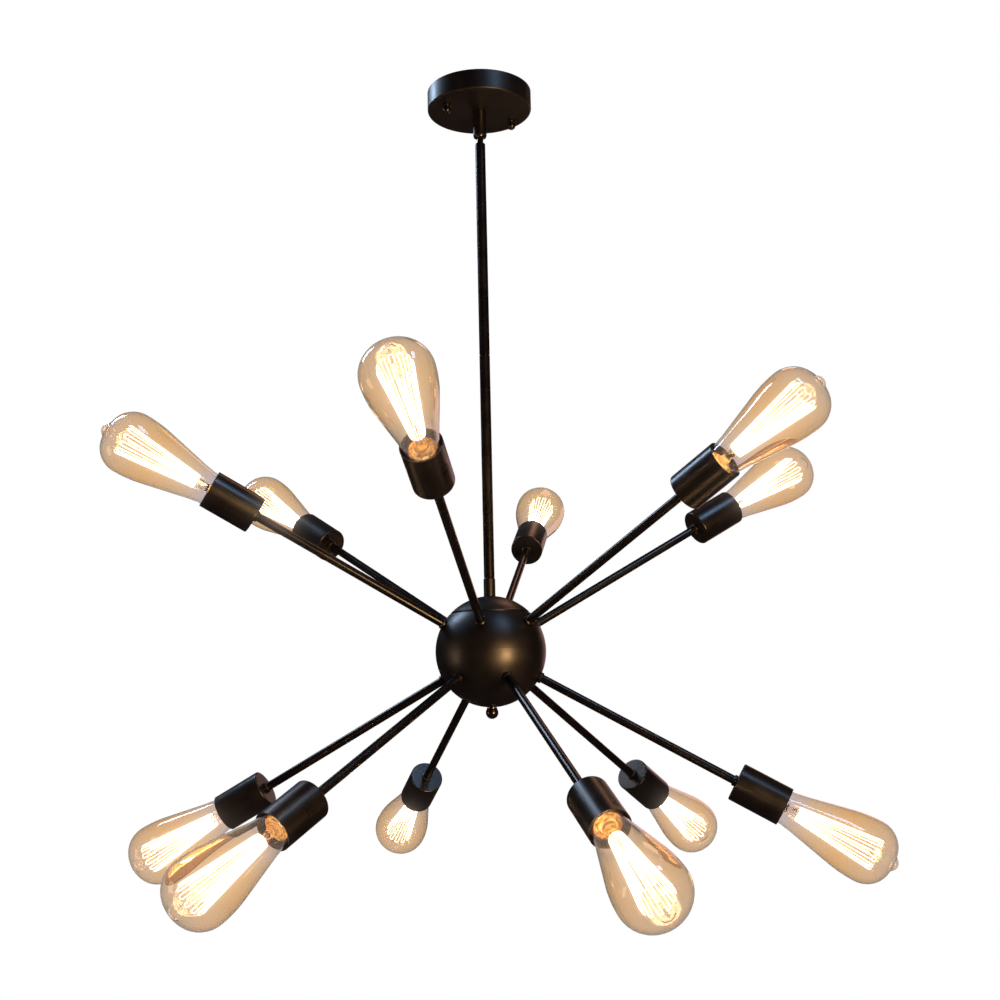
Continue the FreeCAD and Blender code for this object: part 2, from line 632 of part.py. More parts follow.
def socket_cups():
    """The twelve straight cups that hide the sockets."""
    inner = "cup_radius - cup_wall"
    cup = turned("socket_cup", [
        ("hole_radius", "reach"), ("cup_radius - cup_corner", "reach", "+cup_corner"),
        ("cup_radius", "reach + cup_corner"), ("cup_radius", "cup_mouth"), (inner, "cup_mouth"),
        (inner, "cup_inside"), ("hole_radius", "cup_inside")])
    names = [f"socket_cup_{tier}_{number}" for tier, number, _, _ in ARM_TURNS]
    return [group(name, [copy]) for name, copy in zip(names, on_arms(cup))]


def sockets():
    """The insulating bodies, brass screw shells and centre contacts of the lamp sockets."""
    body = turned("socket_body", [
        ("hole_radius", "socket_base"), ("socket_radius - socket_shoulder", "socket_base"),
        ("socket_radius", "socket_base + socket_taper"), ("socket_radius", "socket_mouth - socket_edge"),
        ("socket_radius - socket_edge", "socket_mouth"), ("socket_cavity", "socket_mouth"),
        ("socket_cavity", "cavity_floor"), ("contact_rivet + thread_gap", "cavity_floor"),
        ("contact_rivet + thread_gap", "spigot_end + contact_gap"),
        ("hole_radius", "spigot_end + contact_gap")])
    outer = "socket_cavity - thread_gap"
    inner = f"{outer} - shell_wall"
    shell = turned("socket_shell", [
        ("shell_floor_bore", "cavity_floor"), (outer, "cavity_floor"),
        (outer, "socket_mouth - shell_short"), (inner, "socket_mouth - shell_short"),
        (inner, "cavity_floor + shell_wall"), ("shell_floor_bore", "cavity_floor + shell_wall")])
    contact = turned("socket_contact", [
        ("0", "spigot_end + contact_gap"), ("contact_rivet", "spigot_end + contact_gap"),
        ("contact_rivet", "cavity_floor"), ("contact_radius", "cavity_floor"),
        ("contact_radius", "cavity_floor + shell_wall"), ("contact_rivet", "bulb_end - running_gap"),
        ("0", "bulb_end - running_gap")])
    return (group("socket_bodies", on_arms(body)), group("socket_shells", on_arms(shell)),
            group("socket_contacts", on_arms(contact)))


# ---------------------------------------------------------------- bulbs
def glass():
    """Pear-shaped glass with a blunt sealed tip and the stem sealed into its foot."""
    foot = "glass_joint"
    neck_low = "glass_joint + neck_shoulder"
    neck_high = "glass_joint + neck_length"
    wall = "glass_wall"
    belly = "cup_mouth + belly_height"
    cone = "cup_mouth + cone_height"
    flat = "belly_radius - dome_curve"
    crown = f"{belly} + dome_curve"
    nub_top = f"{crown} + nub_height"
    foot_level = f"{belly} + sqrt(dome_curve^2 - (nub_foot - ({flat}))^2)"
    shoulder_level = f"{nub_top} - nub_curve + sqrt(nub_curve^2 - nub_shoulder^2)"
    foot_radius = "neck_radius - neck_shoulder"
    return turned("glass", [
        ("0", foot), (foot_radius, foot, "+neck_shoulder"), ("neck_radius", neck_low),
        ("neck_radius", neck_high), ("cone_radius", cone, "+belly_curve"),
        ("belly_radius", belly, "+dome_curve"), ("nub_foot", foot_level, "-nub_fillet"),
        ("nub_shoulder", shoulder_level, "+nub_curve"), ("0", nub_top),
        ("0", f"{crown} - {wall}"), (flat, f"{crown} - {wall}", f"-(dome_curve - {wall})"),
        (f"belly_radius - {wall}", belly, f"-(belly_curve - {wall})"),
        (f"cone_radius - {wall}", cone), (f"neck_radius - {wall}", neck_high),
        (f"neck_radius - {wall}", neck_low), ("stem_radius", f"{foot} + {wall}"),
        ("stem_top_radius", f"{foot} + stem_height"), ("0", f"{foot} + stem_height")])


def bulbs():
    """Each bulb: the glass, its brass screw cap, the black insulator and the tip contact."""
    inner = "screw_radius - screw_wall"
    envelope = glass()
    cap = turned("screw_cap", [
        ("insulator_radius", "screw_end"),
        ("screw_radius - screw_shoulder", "screw_end + screw_taper / 2"),
        ("screw_radius", "screw_end + screw_taper"), ("screw_radius", "glass_joint"),
        (inner, "glass_joint"), (inner, "screw_end + screw_taper"),
        ("insulator_radius", "screw_end + screw_wall")])
    insulator = turned("cap_insulator", [
        ("0", "screw_end - insulator_height"), ("tip_contact_radius", "screw_end - insulator_height"),
        ("insulator_radius", "screw_end"), ("insulator_radius", "screw_end + screw_wall"),
        ("0", "screw_end + screw_wall")])
    tip = turned("tip_contact", [
        ("0", "bulb_end"), ("tip_contact_radius - tip_contact_edge", "bulb_end"),
        ("tip_contact_radius", "bulb_end + tip_contact_height"), ("0", "bulb_end + tip_contact_height")])
    pieces = [on_arms(piece) for piece in (envelope, cap, insulator, tip)]
    names = [f"bulb_{tier}_{number}" for tier, number, _, _ in ARM_TURNS]
    return [group(name, list(members)) for name, members in zip(names, zip(*pieces))]


# ---------------------------------------------------------------- wiring
def rod_wires():
    """Line and neutral down the rods, from the swivel ball to the terminal blocks."""
    top = value("ball_level + ball_radius")
    offset = value("rod_wire_offset")
    middle = value("hub_level")
    block_top = value("block_gap / 2 + block_height + thread_gap")
    bend = value("bracket_under - pipe_nut_height - hub_nipple_tail")
    out = value("block_radius + block_bore") / 2
    line = [Vector(-offset, 0, top), Vector(-offset, 0, middle - value("block_gap / 2 - thread_gap"))]
    neutral = [Vector(offset, 0, top), Vector(offset, 0, middle + bend - value("neutral_drop")),
               Vector(out, 0, middle + block_top + value("neutral_rise")), Vector(out, 0, middle + block_top)]
    radius = value("rod_wire_radius")
    return shaped("rod_wires", [route(line, radius), route(neutral, radius)])


def lamp_wires():
    """Two wires through every arm, from the terminal blocks to the socket."""
    rise = math.radians(value("arm_rise"))
    offset = value("lamp_wire_offset")
    rim = value("block_radius + thread_gap")
    block = value("block_gap / 2 + block_height / 2")
    wires = []
    for tier, _, turn, _ in ARM_TURNS:
        azimuth = math.radians(value(turn))
        lean = rise if tier == "upper" else -rise
        for side in (1, -1):
            flat_points = [(rim, side * block), (rim + value("block_tail"), side * block)]
            for along in (value("hub_radius - hub_bite - wire_slack"), value("spigot_end - contact_gap")):
                flat_points.append((along * math.cos(lean) - side * offset * math.sin(lean),
                                    along * math.sin(lean) + side * offset * math.cos(lean)))
            points = [Vector(flat * math.cos(azimuth), flat * math.sin(azimuth), up)
                      for flat, up in flat_points]
            wires.append(route(points, value("lamp_wire_radius")))
    return shaped("lamp_wires", wires, "hub_level")


def connector_seats():
    """Where each twist-on connector's mouth is, and which way it points: neutral, line, earth."""
    rest = value("canopy_floor + connector_radius + contact_gap / 2")
    place = value("connector_place")
    side = value("connector_side")
    earth = math.radians(value("earth_angle"))
    return [(Vector(side, place, rest), Vector(0, 1, 0)),
            (Vector(-side, -place, rest), Vector(0, -1, 0)),
            (Vector(place + side, -value("earth_seat"), rest),
             Vector(-math.cos(earth), -math.sin(earth), 0))]


def supply_leads():
    """Neutral and line from the canopy's connectors down through the nipple to the swivel."""
    low = value("ball_level + ball_radius + ball_wire_gap")
    offset = value("rod_wire_offset")
    over = value("canopy_floor + nipple_rise + lead_turn")
    spread = value("lead_spread")
    swing = value("lead_swing")
    leads = []
    for side, (mouth, way) in zip((1, -1), connector_seats()):
        points = [Vector(side * offset, 0, low), Vector(side * offset, 0, over),
                  Vector(side * spread, mouth.y - swing * way.y, over - value("lead_dip")),
                  mouth - way * value("lead_tail"), mouth]
        leads.append(route(points, value("rod_wire_radius")))
    return shaped("supply_leads", leads)


# The way of the earth wire, as steps from its ring terminal.
EARTH_STEPS = ((6, -1, -1), (11, -8, -4), (10, -17, -8))


def ground_wire():
    """The earth wire, from its ring terminal under the ground screw to its connector."""
    turn = math.radians(value("strap_turn"))
    reach = value("ground_screw_place")
    centre = Vector(reach * math.cos(turn), reach * math.sin(turn), value("strap_under"))
    thick = value("ring_terminal_thickness")
    low = centre - Vector(0, 0, thick)
    ring = Part.makeCylinder(value("ground_head_radius"), thick, low)
    hole = Part.makeCylinder(value("ground_screw_radius + thread_gap"), thick, low)
    start = centre + Vector(value("ground_head_radius + contact_gap"), 0, -value("rod_wire_radius"))
    mouth, way = connector_seats()[2]
    points = [start, *(start + Vector(*step) for step in EARTH_STEPS),
              mouth - way * value("earth_tail"), mouth]
    return shaped("ground_wire", [ring.cut(hole), route(points, value("rod_wire_radius"))])


def wire_connectors():
    """Three twist-on connectors lying in the canopy, for neutral, line and earth."""
    cone = Part.makeCone(value("connector_radius"), value("connector_tip"), value("connector_length"))
    solids = []
    for mouth, way in connector_seats():
        solid = cone.copy()
        solid.Placement = Placement(mouth, Rotation(Vector(0, 0, 1), way))
        solids.append(solid)
    return shaped("wire_connectors", solids)


# ---------------------------------------------------------------- build and write out
def build_all():
    """Every sub-part of the chandelier, from the ceiling down."""
    nodes = [ceiling_strap(), strap_eyelet(), canopy_strap(), *canopy_studs(), ground_screw()]
    nodes += [canopy(), canopy_cap_nuts(), canopy_nipple(), *canopy_nipple_nut()]
    nodes += [swivel_cup(), swivel_ball(), *rods()]
    nodes += [hub_nipple(), hub_cap(), hub_shell(), hub_bracket(), finial(), finial_nut()]
    nodes += [terminal_blocks(), *arms(), arm_collars(), pipe_nuts()]
    nodes += [*socket_cups(), *sockets(), *bulbs()]
    nodes += [rod_wires(), lamp_wires(), supply_leads(), ground_wire(), wire_connectors()]
    return nodes


def check(nodes):
    """Stop if any object failed or any sub-part has no sound shape."""
    for item in doc.Objects:
        if {"Invalid", "Error"} & set(item.State):
            raise ValueError(f"{item.Label} failed: {item.State}")
    for node in nodes:
        if node.Shape.isNull() or not node.Shape.isValid() or not node.Shape.Solids:
            raise ValueError(f"{node.Label} has no sound shape")


parts = build_all()
doc.recompute()
check(parts)
os.makedirs("parts", exist_ok=True)
for part in parts:
    part.Shape.exportStep(f"parts/{part.Label}.step")
    print(f"{part.Label}: {len(part.Shape.Solids)} solids, {part.Shape.Volume / 1000:.2f} cm3")
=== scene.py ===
# %% [markdown]
# # A sputnik chandelier: dressing the finished metalwork
#
# The chandelier hangs from a round canopy on a straight rod. Twelve thin arms leave a hollow ball,
# six of them rising and six falling, and each arm carries a straight black cup with a pear-shaped
# filament bulb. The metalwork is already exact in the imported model, so most of it only needs its
# finish. What the solids can't show is made here: the glowing bulbs, the rolled rim of the hub's
# dome, the twist-on connectors, the threads of the two studs and the light of the studio.

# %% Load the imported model
import json
import math

import bmesh
import bpy
from mathutils import Matrix, Vector


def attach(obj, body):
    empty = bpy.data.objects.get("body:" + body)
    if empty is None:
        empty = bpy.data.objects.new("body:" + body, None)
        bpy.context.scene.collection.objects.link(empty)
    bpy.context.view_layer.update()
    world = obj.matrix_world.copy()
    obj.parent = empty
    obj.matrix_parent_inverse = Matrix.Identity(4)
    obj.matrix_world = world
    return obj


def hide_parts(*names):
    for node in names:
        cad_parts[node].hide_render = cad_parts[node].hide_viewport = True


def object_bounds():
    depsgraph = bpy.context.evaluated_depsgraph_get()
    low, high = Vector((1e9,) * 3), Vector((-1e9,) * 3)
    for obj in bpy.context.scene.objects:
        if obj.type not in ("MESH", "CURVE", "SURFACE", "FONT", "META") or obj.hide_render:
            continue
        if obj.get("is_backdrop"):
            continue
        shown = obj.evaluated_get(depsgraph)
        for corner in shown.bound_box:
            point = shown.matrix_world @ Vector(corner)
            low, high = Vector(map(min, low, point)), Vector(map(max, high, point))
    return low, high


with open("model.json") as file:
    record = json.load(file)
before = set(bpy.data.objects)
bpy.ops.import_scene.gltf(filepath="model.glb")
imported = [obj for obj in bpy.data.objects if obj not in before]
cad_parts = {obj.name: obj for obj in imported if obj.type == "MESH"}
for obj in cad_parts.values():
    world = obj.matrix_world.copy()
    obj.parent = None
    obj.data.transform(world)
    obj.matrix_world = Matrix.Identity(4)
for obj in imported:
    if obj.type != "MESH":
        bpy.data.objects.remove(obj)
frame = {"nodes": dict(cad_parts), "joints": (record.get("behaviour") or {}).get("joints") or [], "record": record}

cad_low, cad_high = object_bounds()
print("the chandelier measures", [round(side, 3) for side in cad_high - cad_low], "metres")

# %% [markdown]
# ## The camera
#
# The photograph looks up a little from below the hub, close enough that the near bulbs look larger
# than the far ones. A camera is set by where its eye stands, which way it looks, and how far it is
# rolled. The lens length follows from how wide the chandelier is in the picture, so it is written
# down with the other three.

# %% Stand the camera where the photographer stood
EYE = Vector((0.0002, -1.4057, -0.6977))
LOOK_UP = math.radians(9.43)
LOOK_RIGHT = math.radians(0.53)
ROLL = math.radians(-1.3)
LENS, SENSOR_WIDTH = 47.99, 36

camera = bpy.data.objects.new("camera", bpy.data.cameras.new("camera"))
bpy.context.scene.collection.objects.link(camera)
camera.data.lens = LENS
camera.data.sensor_width = SENSOR_WIDTH
camera.data.clip_start = 0.05
camera.matrix_world = (
    Matrix.Translation(EYE)
    @ Matrix.Rotation(-LOOK_RIGHT, 4, "Z")
    @ Matrix.Rotation(math.radians(90) + LOOK_UP, 4, "X")
    @ Matrix.Rotation(ROLL, 4, "Z")
)
bpy.context.scene.camera = camera
print("the camera stands", round(EYE.length, 2), "metres from the middle of the canopy")

# %% [markdown]
# ## Working by hand, in code
#
# Every piece below starts as a primitive and is shaped in edit mode. An operator works on all that
# is selected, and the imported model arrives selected, so each step first clears the selection. The
# helpers here are the few hand movements that every turned piece needs.

# %% Helpers: select, turn on a lathe, finish
MM = 0.001
scene = bpy.context.scene


def clear_selection():
    """Leave edit mode and select nothing."""
    if bpy.context.object and bpy.context.object.mode != "OBJECT":
        bpy.ops.object.mode_set(mode="OBJECT")
    bpy.ops.object.select_all(action="DESELECT")


def edit(piece):
    """Open one piece in edit mode with nothing in it selected."""
    clear_selection()
    bpy.context.view_layer.objects.active = piece
    piece.select_set(True)
    bpy.ops.object.mode_set(mode="EDIT")
    bpy.ops.mesh.select_all(action="DESELECT")


def select_where(piece, test):
    """Select the vertices of the open mesh that pass the test, and count them."""
    bpy.ops.mesh.select_mode(type="VERT")
    mesh = bmesh.from_edit_mesh(piece.data)
    chosen = [vertex for vertex in mesh.verts if test(vertex)]
    for vertex in chosen:
        vertex.select_set(True)
    mesh.select_flush_mode()
    bmesh.update_edit_mesh(piece.data)
    return len(chosen)


def turn(name, profile, steps):
    """Spin half a profile of (radius, height) points in millimetres round the upright axis."""
    clear_selection()
    bpy.ops.mesh.primitive_plane_add(size=MM)
    piece = bpy.context.object
    piece.name = piece.data.name = name
    bpy.ops.object.mode_set(mode="EDIT")
    bpy.ops.mesh.select_all(action="SELECT")
    bpy.ops.mesh.merge(type="CENTER")
    bpy.ops.transform.translate(value=(profile[0][0] * MM, 0, profile[0][1] * MM))
    for (radius, height), (next_radius, next_height) in zip(profile, profile[1:]):
        step = ((next_radius - radius) * MM, 0, (next_height - height) * MM)
        bpy.ops.mesh.extrude_vertices_move(TRANSFORM_OT_translate={"value": step})
    bpy.ops.mesh.select_all(action="SELECT")
    bpy.ops.mesh.spin(steps=steps, angle=math.tau, center=(0, 0, 0), axis=(0, 0, 1))
    bpy.ops.mesh.select_all(action="SELECT")
    bpy.ops.mesh.remove_doubles(threshold=0.01 * MM)
    bpy.ops.mesh.normals_make_consistent(inside=False)
    bpy.ops.object.mode_set(mode="OBJECT")
    return piece


def smooth(piece, angle):
    """Smooth shading that keeps the edges sharper than the angle."""
    clear_selection()
    bpy.context.view_layer.objects.active = piece
    piece.select_set(True)
    bpy.ops.object.shade_smooth_by_angle(angle=math.radians(angle))


def finish_with(piece, kind, **settings):
    """Add a modifier, set it and apply it."""
    clear_selection()
    bpy.context.view_layer.objects.active = piece
    piece.select_set(True)
    modifier = piece.modifiers.new(kind.lower(), kind)
    for name, setting in settings.items():
        setattr(modifier, name, setting)
    bpy.ops.object.modifier_apply(modifier=modifier.name)


def join(first, *others):
    """Join pieces into the first one."""
    clear_selection()
    for piece in (first, *others):
        piece.select_set(True)
    bpy.context.view_layer.objects.active = first
    bpy.ops.object.join()
    return first


def arc(middle, radius, start, end, count):
    """Points of an arc in the half profile, from one angle to the other in degrees."""
    angles = [math.radians(start + (end - start) * step / count) for step in range(count + 1)]
    return [(middle[0] + radius * math.cos(a), middle[1] + radius * math.sin(a)) for a in angles]


# %% [markdown]
# ## Finishes
#
# The metalwork is baked black enamel: not quite flat, with a fine orange-peel skin that softens
# every reflection. A finish is a Principled shader, with noise that varies its roughness and lifts
# a very low bump. The noise is measured in the object's own metres, so it stays the same size on a
# nut and on the hub. The enamel's own colour is almost black, so that nearly all that is seen of it
# is what it mirrors.

# %% Finish helpers
# Most of a noise texture lies between the first two values, and a blend of two colours runs
# between the other two. The depth of a skin is in metres.
NOISE_LOW, NOISE_HIGH = 0.3, 0.7
BLEND_LOW, BLEND_HIGH = 0.35, 0.65
SKIN_DEPTH = 0.0002


def finish(name, colour, roughness, metallic=0.0, **extra):
    """A new material with one Principled shader, and its node tree's parts."""
    material = bpy.data.materials.new(name)
    material.use_nodes = True
    tree = material.node_tree
    shader = tree.nodes["Principled BSDF"]
    shader.inputs["Base Color"].default_value = (*colour, 1)
    shader.inputs["Roughness"].default_value = roughness
    shader.inputs["Metallic"].default_value = metallic
    for socket, setting in extra.items():
        shader.inputs[socket.replace("_", " ")].default_value = setting
    return material, tree, shader


def add_noise(tree, scale, detail=3.0):
    """Noise in the object's own metres."""
    place = tree.nodes.new("ShaderNodeTexCoord")
    noise = tree.nodes.new("ShaderNodeTexNoise")
    noise.inputs["Scale"].default_value = scale
    noise.inputs["Detail"].default_value = detail
    tree.links.new(place.outputs["Object"], noise.inputs["Vector"])
    return noise


def vary(tree, source, socket, low, high):
    """Drive a number from low to high by a source of 0 to 1."""
    spread = tree.nodes.new("ShaderNodeMapRange")
    spread.inputs["From Min"].default_value = NOISE_LOW
    spread.inputs["From Max"].default_value = NOISE_HIGH
    spread.inputs["To Min"].default_value = low
    spread.inputs["To Max"].default_value = high
    tree.links.new(source, spread.inputs["Value"])
    tree.links.new(spread.outputs["Result"], socket)


def blend_colour(tree, source, socket, first, second):
    """Drive a colour from the first to the second by a source of 0 to 1."""
    ramp = tree.nodes.new("ShaderNodeValToRGB")
    ramp.color_ramp.elements[0].color = (*first, 1)
    ramp.color_ramp.elements[1].color = (*second, 1)
    ramp.color_ramp.elements[0].position = BLEND_LOW
    ramp.color_ramp.elements[1].position = BLEND_HIGH
    tree.links.new(source, ramp.inputs["Fac"])
    tree.links.new(ramp.outputs["Color"], socket)


def raise_skin(tree, shader, source, strength, depth=SKIN_DEPTH):
    """A low bump on the surface, its depth in metres."""
    bump = tree.nodes.new("ShaderNodeBump")
    bump.inputs["Strength"].default_value = strength
    bump.inputs["Distance"].default_value = depth
    tree.links.new(source, bump.inputs["Height"])
    tree.links.new(bump.outputs["Normal"], shader.inputs["Normal"])


# %% Baked black enamel, satin for the tubes and cups, glossy for the small turned pieces
BLACK = (0.003, 0.0022, 0.0024)
DARKER_BLACK, PALER_BLACK = (0.0020, 0.0015, 0.0017), (0.0038, 0.0028, 0.0030)


def black_enamel(name, roughness, coat=0.0, shine=0.5, skin=0.03):
    """Black paint over metal with a fine orange-peel skin."""
    material, tree, shader = finish(name, BLACK, roughness, Coat_Weight=coat, Coat_Roughness=0.12,
                                    Specular_IOR_Level=shine)
    cloud = add_noise(tree, 40)
    vary(tree, cloud.outputs["Fac"], shader.inputs["Roughness"], roughness - 0.04, roughness + 0.05)
    blend_colour(tree, cloud.outputs["Fac"], shader.inputs["Base Color"], DARKER_BLACK, PALER_BLACK)
    peel = add_noise(tree, 900, 2.0)
    raise_skin(tree, shader, peel.outputs["Fac"], skin)
    return material


satin_black = black_enamel("satin_black_enamel", 0.38)
cup_black = black_enamel("cup_black_enamel", 0.30)
tube_black = black_enamel("tube_black_enamel", 0.26, shine=0.36, skin=0.008)
gloss_black = black_enamel("gloss_black_enamel", 0.18, coat=0.5)
print("black finishes:", len(bpy.data.materials))

# %% Plated steel, brass, insulators, plastics and wire
def grained(name, colour, roughness, metallic=0.0, scale=300, detail=3.0, dull=None, tones=None,
            skin=0.0, depth=SKIN_DEPTH):
    """A finish with a fine grain that drives its roughness, its colour or a low bump."""
    material, tree, shader = finish(name, colour, roughness, metallic)
    grain = add_noise(tree, scale, detail)
    if dull:
        vary(tree, grain.outputs["Fac"], shader.inputs["Roughness"], *dull)
    if tones:
        blend_colour(tree, grain.outputs["Fac"], shader.inputs["Base Color"], *tones)
    if skin:
        raise_skin(tree, shader, grain.outputs["Fac"], skin, depth)
    return material


zinc = grained("zinc_plated_steel", (0.62, 0.62, 0.60), 0.32, 0.65, 260, 4.0, dull=(0.24, 0.46),
               tones=((0.55, 0.56, 0.58), (0.70, 0.68, 0.61)), skin=0.15)
ground_green = grained("green_dyed_screw", (0.05, 0.30, 0.12), 0.35, 0.7, 500,
                       tones=((0.03, 0.22, 0.08), (0.09, 0.38, 0.17)))
brass = grained("rolled_brass", (0.83, 0.57, 0.24), 0.28, 1.0, 220, 4.0, dull=(0.20, 0.42),
                tones=((0.72, 0.46, 0.17), (0.90, 0.66, 0.32)))
insulator = grained("moulded_insulator", (0.016, 0.015, 0.015), 0.5, 0.0, 700, dull=(0.42, 0.6),
                    skin=0.2)
connector_plastic = grained("connector_plastic", (0.78, 0.20, 0.05), 0.45, 0.0, 400,
                            tones=((0.70, 0.16, 0.035), (0.83, 0.25, 0.07)), skin=0.15)
wire_sleeve = grained("wire_sleeve", (0.02, 0.02, 0.02), 0.42, dull=(0.36, 0.5), skin=0.1)


def two_part_sleeve(name, border, below, above):
    """Wire insulation that changes colour where the piece's own X passes a border, in metres."""
    material, tree, shader = finish(name, below, 0.42)
    place = tree.nodes.new("ShaderNodeTexCoord")
    split = tree.nodes.new("ShaderNodeSeparateXYZ")
    tree.links.new(place.outputs["Object"], split.inputs["Vector"])
    beyond = tree.nodes.new("ShaderNodeMath")
    beyond.operation = "GREATER_THAN"
    beyond.inputs[1].default_value = border
    tree.links.new(split.outputs["X"], beyond.inputs[0])
    blend_colour(tree, beyond.outputs["Value"], shader.inputs["Base Color"], below, above)
    skin = add_noise(tree, 300)
    raise_skin(tree, shader, skin.outputs["Fac"], 0.1)
    return material


# The neutral wire (white) runs on the -X side and the line (black) on the +X side. The ring
# terminal of the earth wire is tinned copper, and its green sleeve begins 22.4 mm from the middle.
white_and_black = two_part_sleeve("white_and_black_sleeves", 0.0,
                                  (0.70, 0.69, 0.65), (0.02, 0.02, 0.02))
green_earth = two_part_sleeve("green_earth_sleeve", 0.0224,
                              (0.62, 0.60, 0.56), (0.03, 0.27, 0.08))
print("finishes so far:", len(bpy.data.materials))

# %% [markdown]
# ## Dress the solids
#
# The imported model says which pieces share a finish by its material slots. Here each slot name is
# matched with one of the finishes above. The tubes mirror the windows more sharply than the cups,
# and the cups more sharply than the ball, and the wires have the colours an electrician expects, so
# those pieces have finishes of their own.

# %% Give every solid its finish
FINISHES = {
    "black_metal": satin_black, "gloss_black": gloss_black, "zinc_steel": zinc,
    "ground_green": ground_green, "brass": brass, "black_insulator": insulator,
    "connector_plastic": connector_plastic, "wire_insulation": wire_sleeve,
}
OWN_FINISH = {
    "upper_rod": tube_black, "lower_rod": tube_black,
    "upper_arms": tube_black, "lower_arms": tube_black,
    "rod_wires": white_and_black, "supply_leads": white_and_black, "ground_wire": green_earth,
}
slot_of = {row["node"]: row["material_slot"] for row in frame["record"]["subparts"]}
OWN_FINISH.update({name: cup_black for name in slot_of if name.startswith("socket_cup_")})
dressed = 0
for name, piece in frame["nodes"].items():
    chosen = OWN_FINISH.get(name, FINISHES.get(slot_of.get(name)))
    if chosen:
        piece.data.materials.clear()
        piece.data.materials.append(chosen)
        dressed += 1
print("nodes dressed:", dressed, "of", len(frame["nodes"]))

# %% [markdown]
# ## The bulb
#
# Each bulb is a pear-shaped glass envelope with a thick sealed tip, a glass stem, a cage of glowing
# wire on little hooks, and a brass screw cap. All twelve are the same, so one is made standing
# upright, with its height measured along the arm from the middle of the hub, and then copied onto
# every arm.

# %% Measures of the bulb, in millimetres along the arm
# A pair in brackets is a radius and a height.
GLASS_FOOT = 329.0
NECK_RADIUS = 17.0
NECK_LOW = 332.8
NECK_HIGH = 340.0
NECK_ROUND = 3.8
CONE = (29.5, 397.0)
BELLY = (32.0, 423.0)
SIDE_ROUND = 135.0
DOME_RADIUS = 26.0
NUB_RADIUS, NUB_MIDDLE = 8.0, 446.0
GLASS_WALL = 0.8
CAP_RADIUS = 13.0

# %% [markdown]
# ### The glass envelope
#
# The envelope is blown in a mould: a short neck, a straight cone, a round belly and a dome. At the
# top the exhaust tube was melted off, which leaves a thick blunt nub. The profile is drawn as a
# chain of points, spun round the axis, and given its wall by a Solidify modifier.

# %% Blow the envelope
def side_arc(start, end, radius, count):
    """The long shallow arc between two points of the profile, bulging outwards."""
    (x0, z0), (x1, z1) = start, end
    half = math.hypot(x1 - x0, z1 - z0) / 2
    lean = math.atan2(z1 - z0, x1 - x0)
    off = math.sqrt(radius * radius - half * half)
    middle = ((x0 + x1) / 2 - off * math.sin(lean), (z0 + z1) / 2 + off * math.cos(lean))
    first = math.degrees(math.atan2(z0 - middle[1], x0 - middle[0]))
    last = math.degrees(math.atan2(z1 - middle[1], x1 - middle[0]))
    return arc(middle, radius, first, last, count)


neck = [(CAP_RADIUS - 0.4, GLASS_FOOT), (CAP_RADIUS + 0.6, GLASS_FOOT + 0.1)]
neck += arc((NECK_RADIUS - NECK_ROUND, NECK_LOW), NECK_ROUND, -80, 0, 5)
neck += [(NECK_RADIUS + 0.1, NECK_HIGH - 1.5), (NECK_RADIUS + 0.9, NECK_HIGH + 2.5)]
cone = [(NECK_RADIUS + (CONE[0] - NECK_RADIUS) * part, NECK_HIGH + (CONE[1] - NECK_HIGH) * part)
        for part in (0.15, 0.3, 0.45, 0.6, 0.75, 0.9)]
belly = side_arc(CONE, BELLY, SIDE_ROUND, 6)
dome = arc((BELLY[0] - DOME_RADIUS, BELLY[1]), DOME_RADIUS, 7, 79, 11)
tip_foot = dome[-1]
nub = [(tip_foot[0] - 1.7, tip_foot[1] + 0.4), (tip_foot[0] - 3.0, tip_foot[1] + 0.8)]
nub += arc((0.0, NUB_MIDDLE), NUB_RADIUS, 29, 90, 6)
envelope = turn("envelope", neck + cone + belly + dome + nub, 64)
finish_with(envelope, "SOLIDIFY", thickness=GLASS_WALL * MM, offset=-1.0)
smooth(envelope, 60)
print("envelope faces:", len(envelope.data.polygons), "top at", round(nub[-1][1], 1), "mm")

# %% [markdown]
# ### The stem
#
# A flared glass tube is melted to the foot of the envelope and pinched flat round the lead wires.
# Above the pinch a glass rod rises through the middle and ends in a button that holds the upper
# hooks.

# %% Draw the stem, then pinch it flat
PINCH_LOW, PINCH_HIGH = 342.0, 351.0
PINCHED, PINCH_MIDDLE = (1.3, 0.45, 1.0), (0, 0, 0.35)
BUTTON = 432.0
stem = turn("stem", [
    (12.2, 329.6), (10.6, 330.0), (8.0, 331.2), (5.8, 333.4), (4.6, 336.4), (4.1, 339.5),
    (4.0, PINCH_LOW), (3.9, 345.0), (3.7, 348.0), (3.2, PINCH_HIGH), (2.2, 353.0), (1.6, 355.0),
    (1.5, 380.0), (1.5, 405.0), (1.5, BUTTON - 3), (2.2, BUTTON - 2), (2.9, BUTTON),
    (2.6, BUTTON + 2), (1.4, BUTTON + 3.4), (0.0, BUTTON + 3.8)], 20)
edit(stem)
select_where(stem, lambda v: PINCH_LOW + 1 < v.co.z / MM < PINCH_HIGH + 1)
bpy.ops.transform.resize(value=PINCHED, center_override=PINCH_MIDDLE)
bpy.ops.object.mode_set(mode="OBJECT")
smooth(stem, 50)
print("stem faces:", len(stem.data.polygons))

# %% [markdown]
# ### The glowing cage
#
# The filament is one long carbon wire that runs up and down between two rings of hooks. One step of
# it is made: a thin rod going up, a half turn over a hook, a rod coming down and a half turn below.
# The step is then spun round the axis as copies, which joins them into a cage.

# %% Wind one step of the filament and repeat it
STRANDS = 24
CAGE_LOW, CAGE_HIGH = 349.0, 429.5
CAGE_FOOT, CAGE_TOP = 6.8, 15.4
WIRE = 0.25


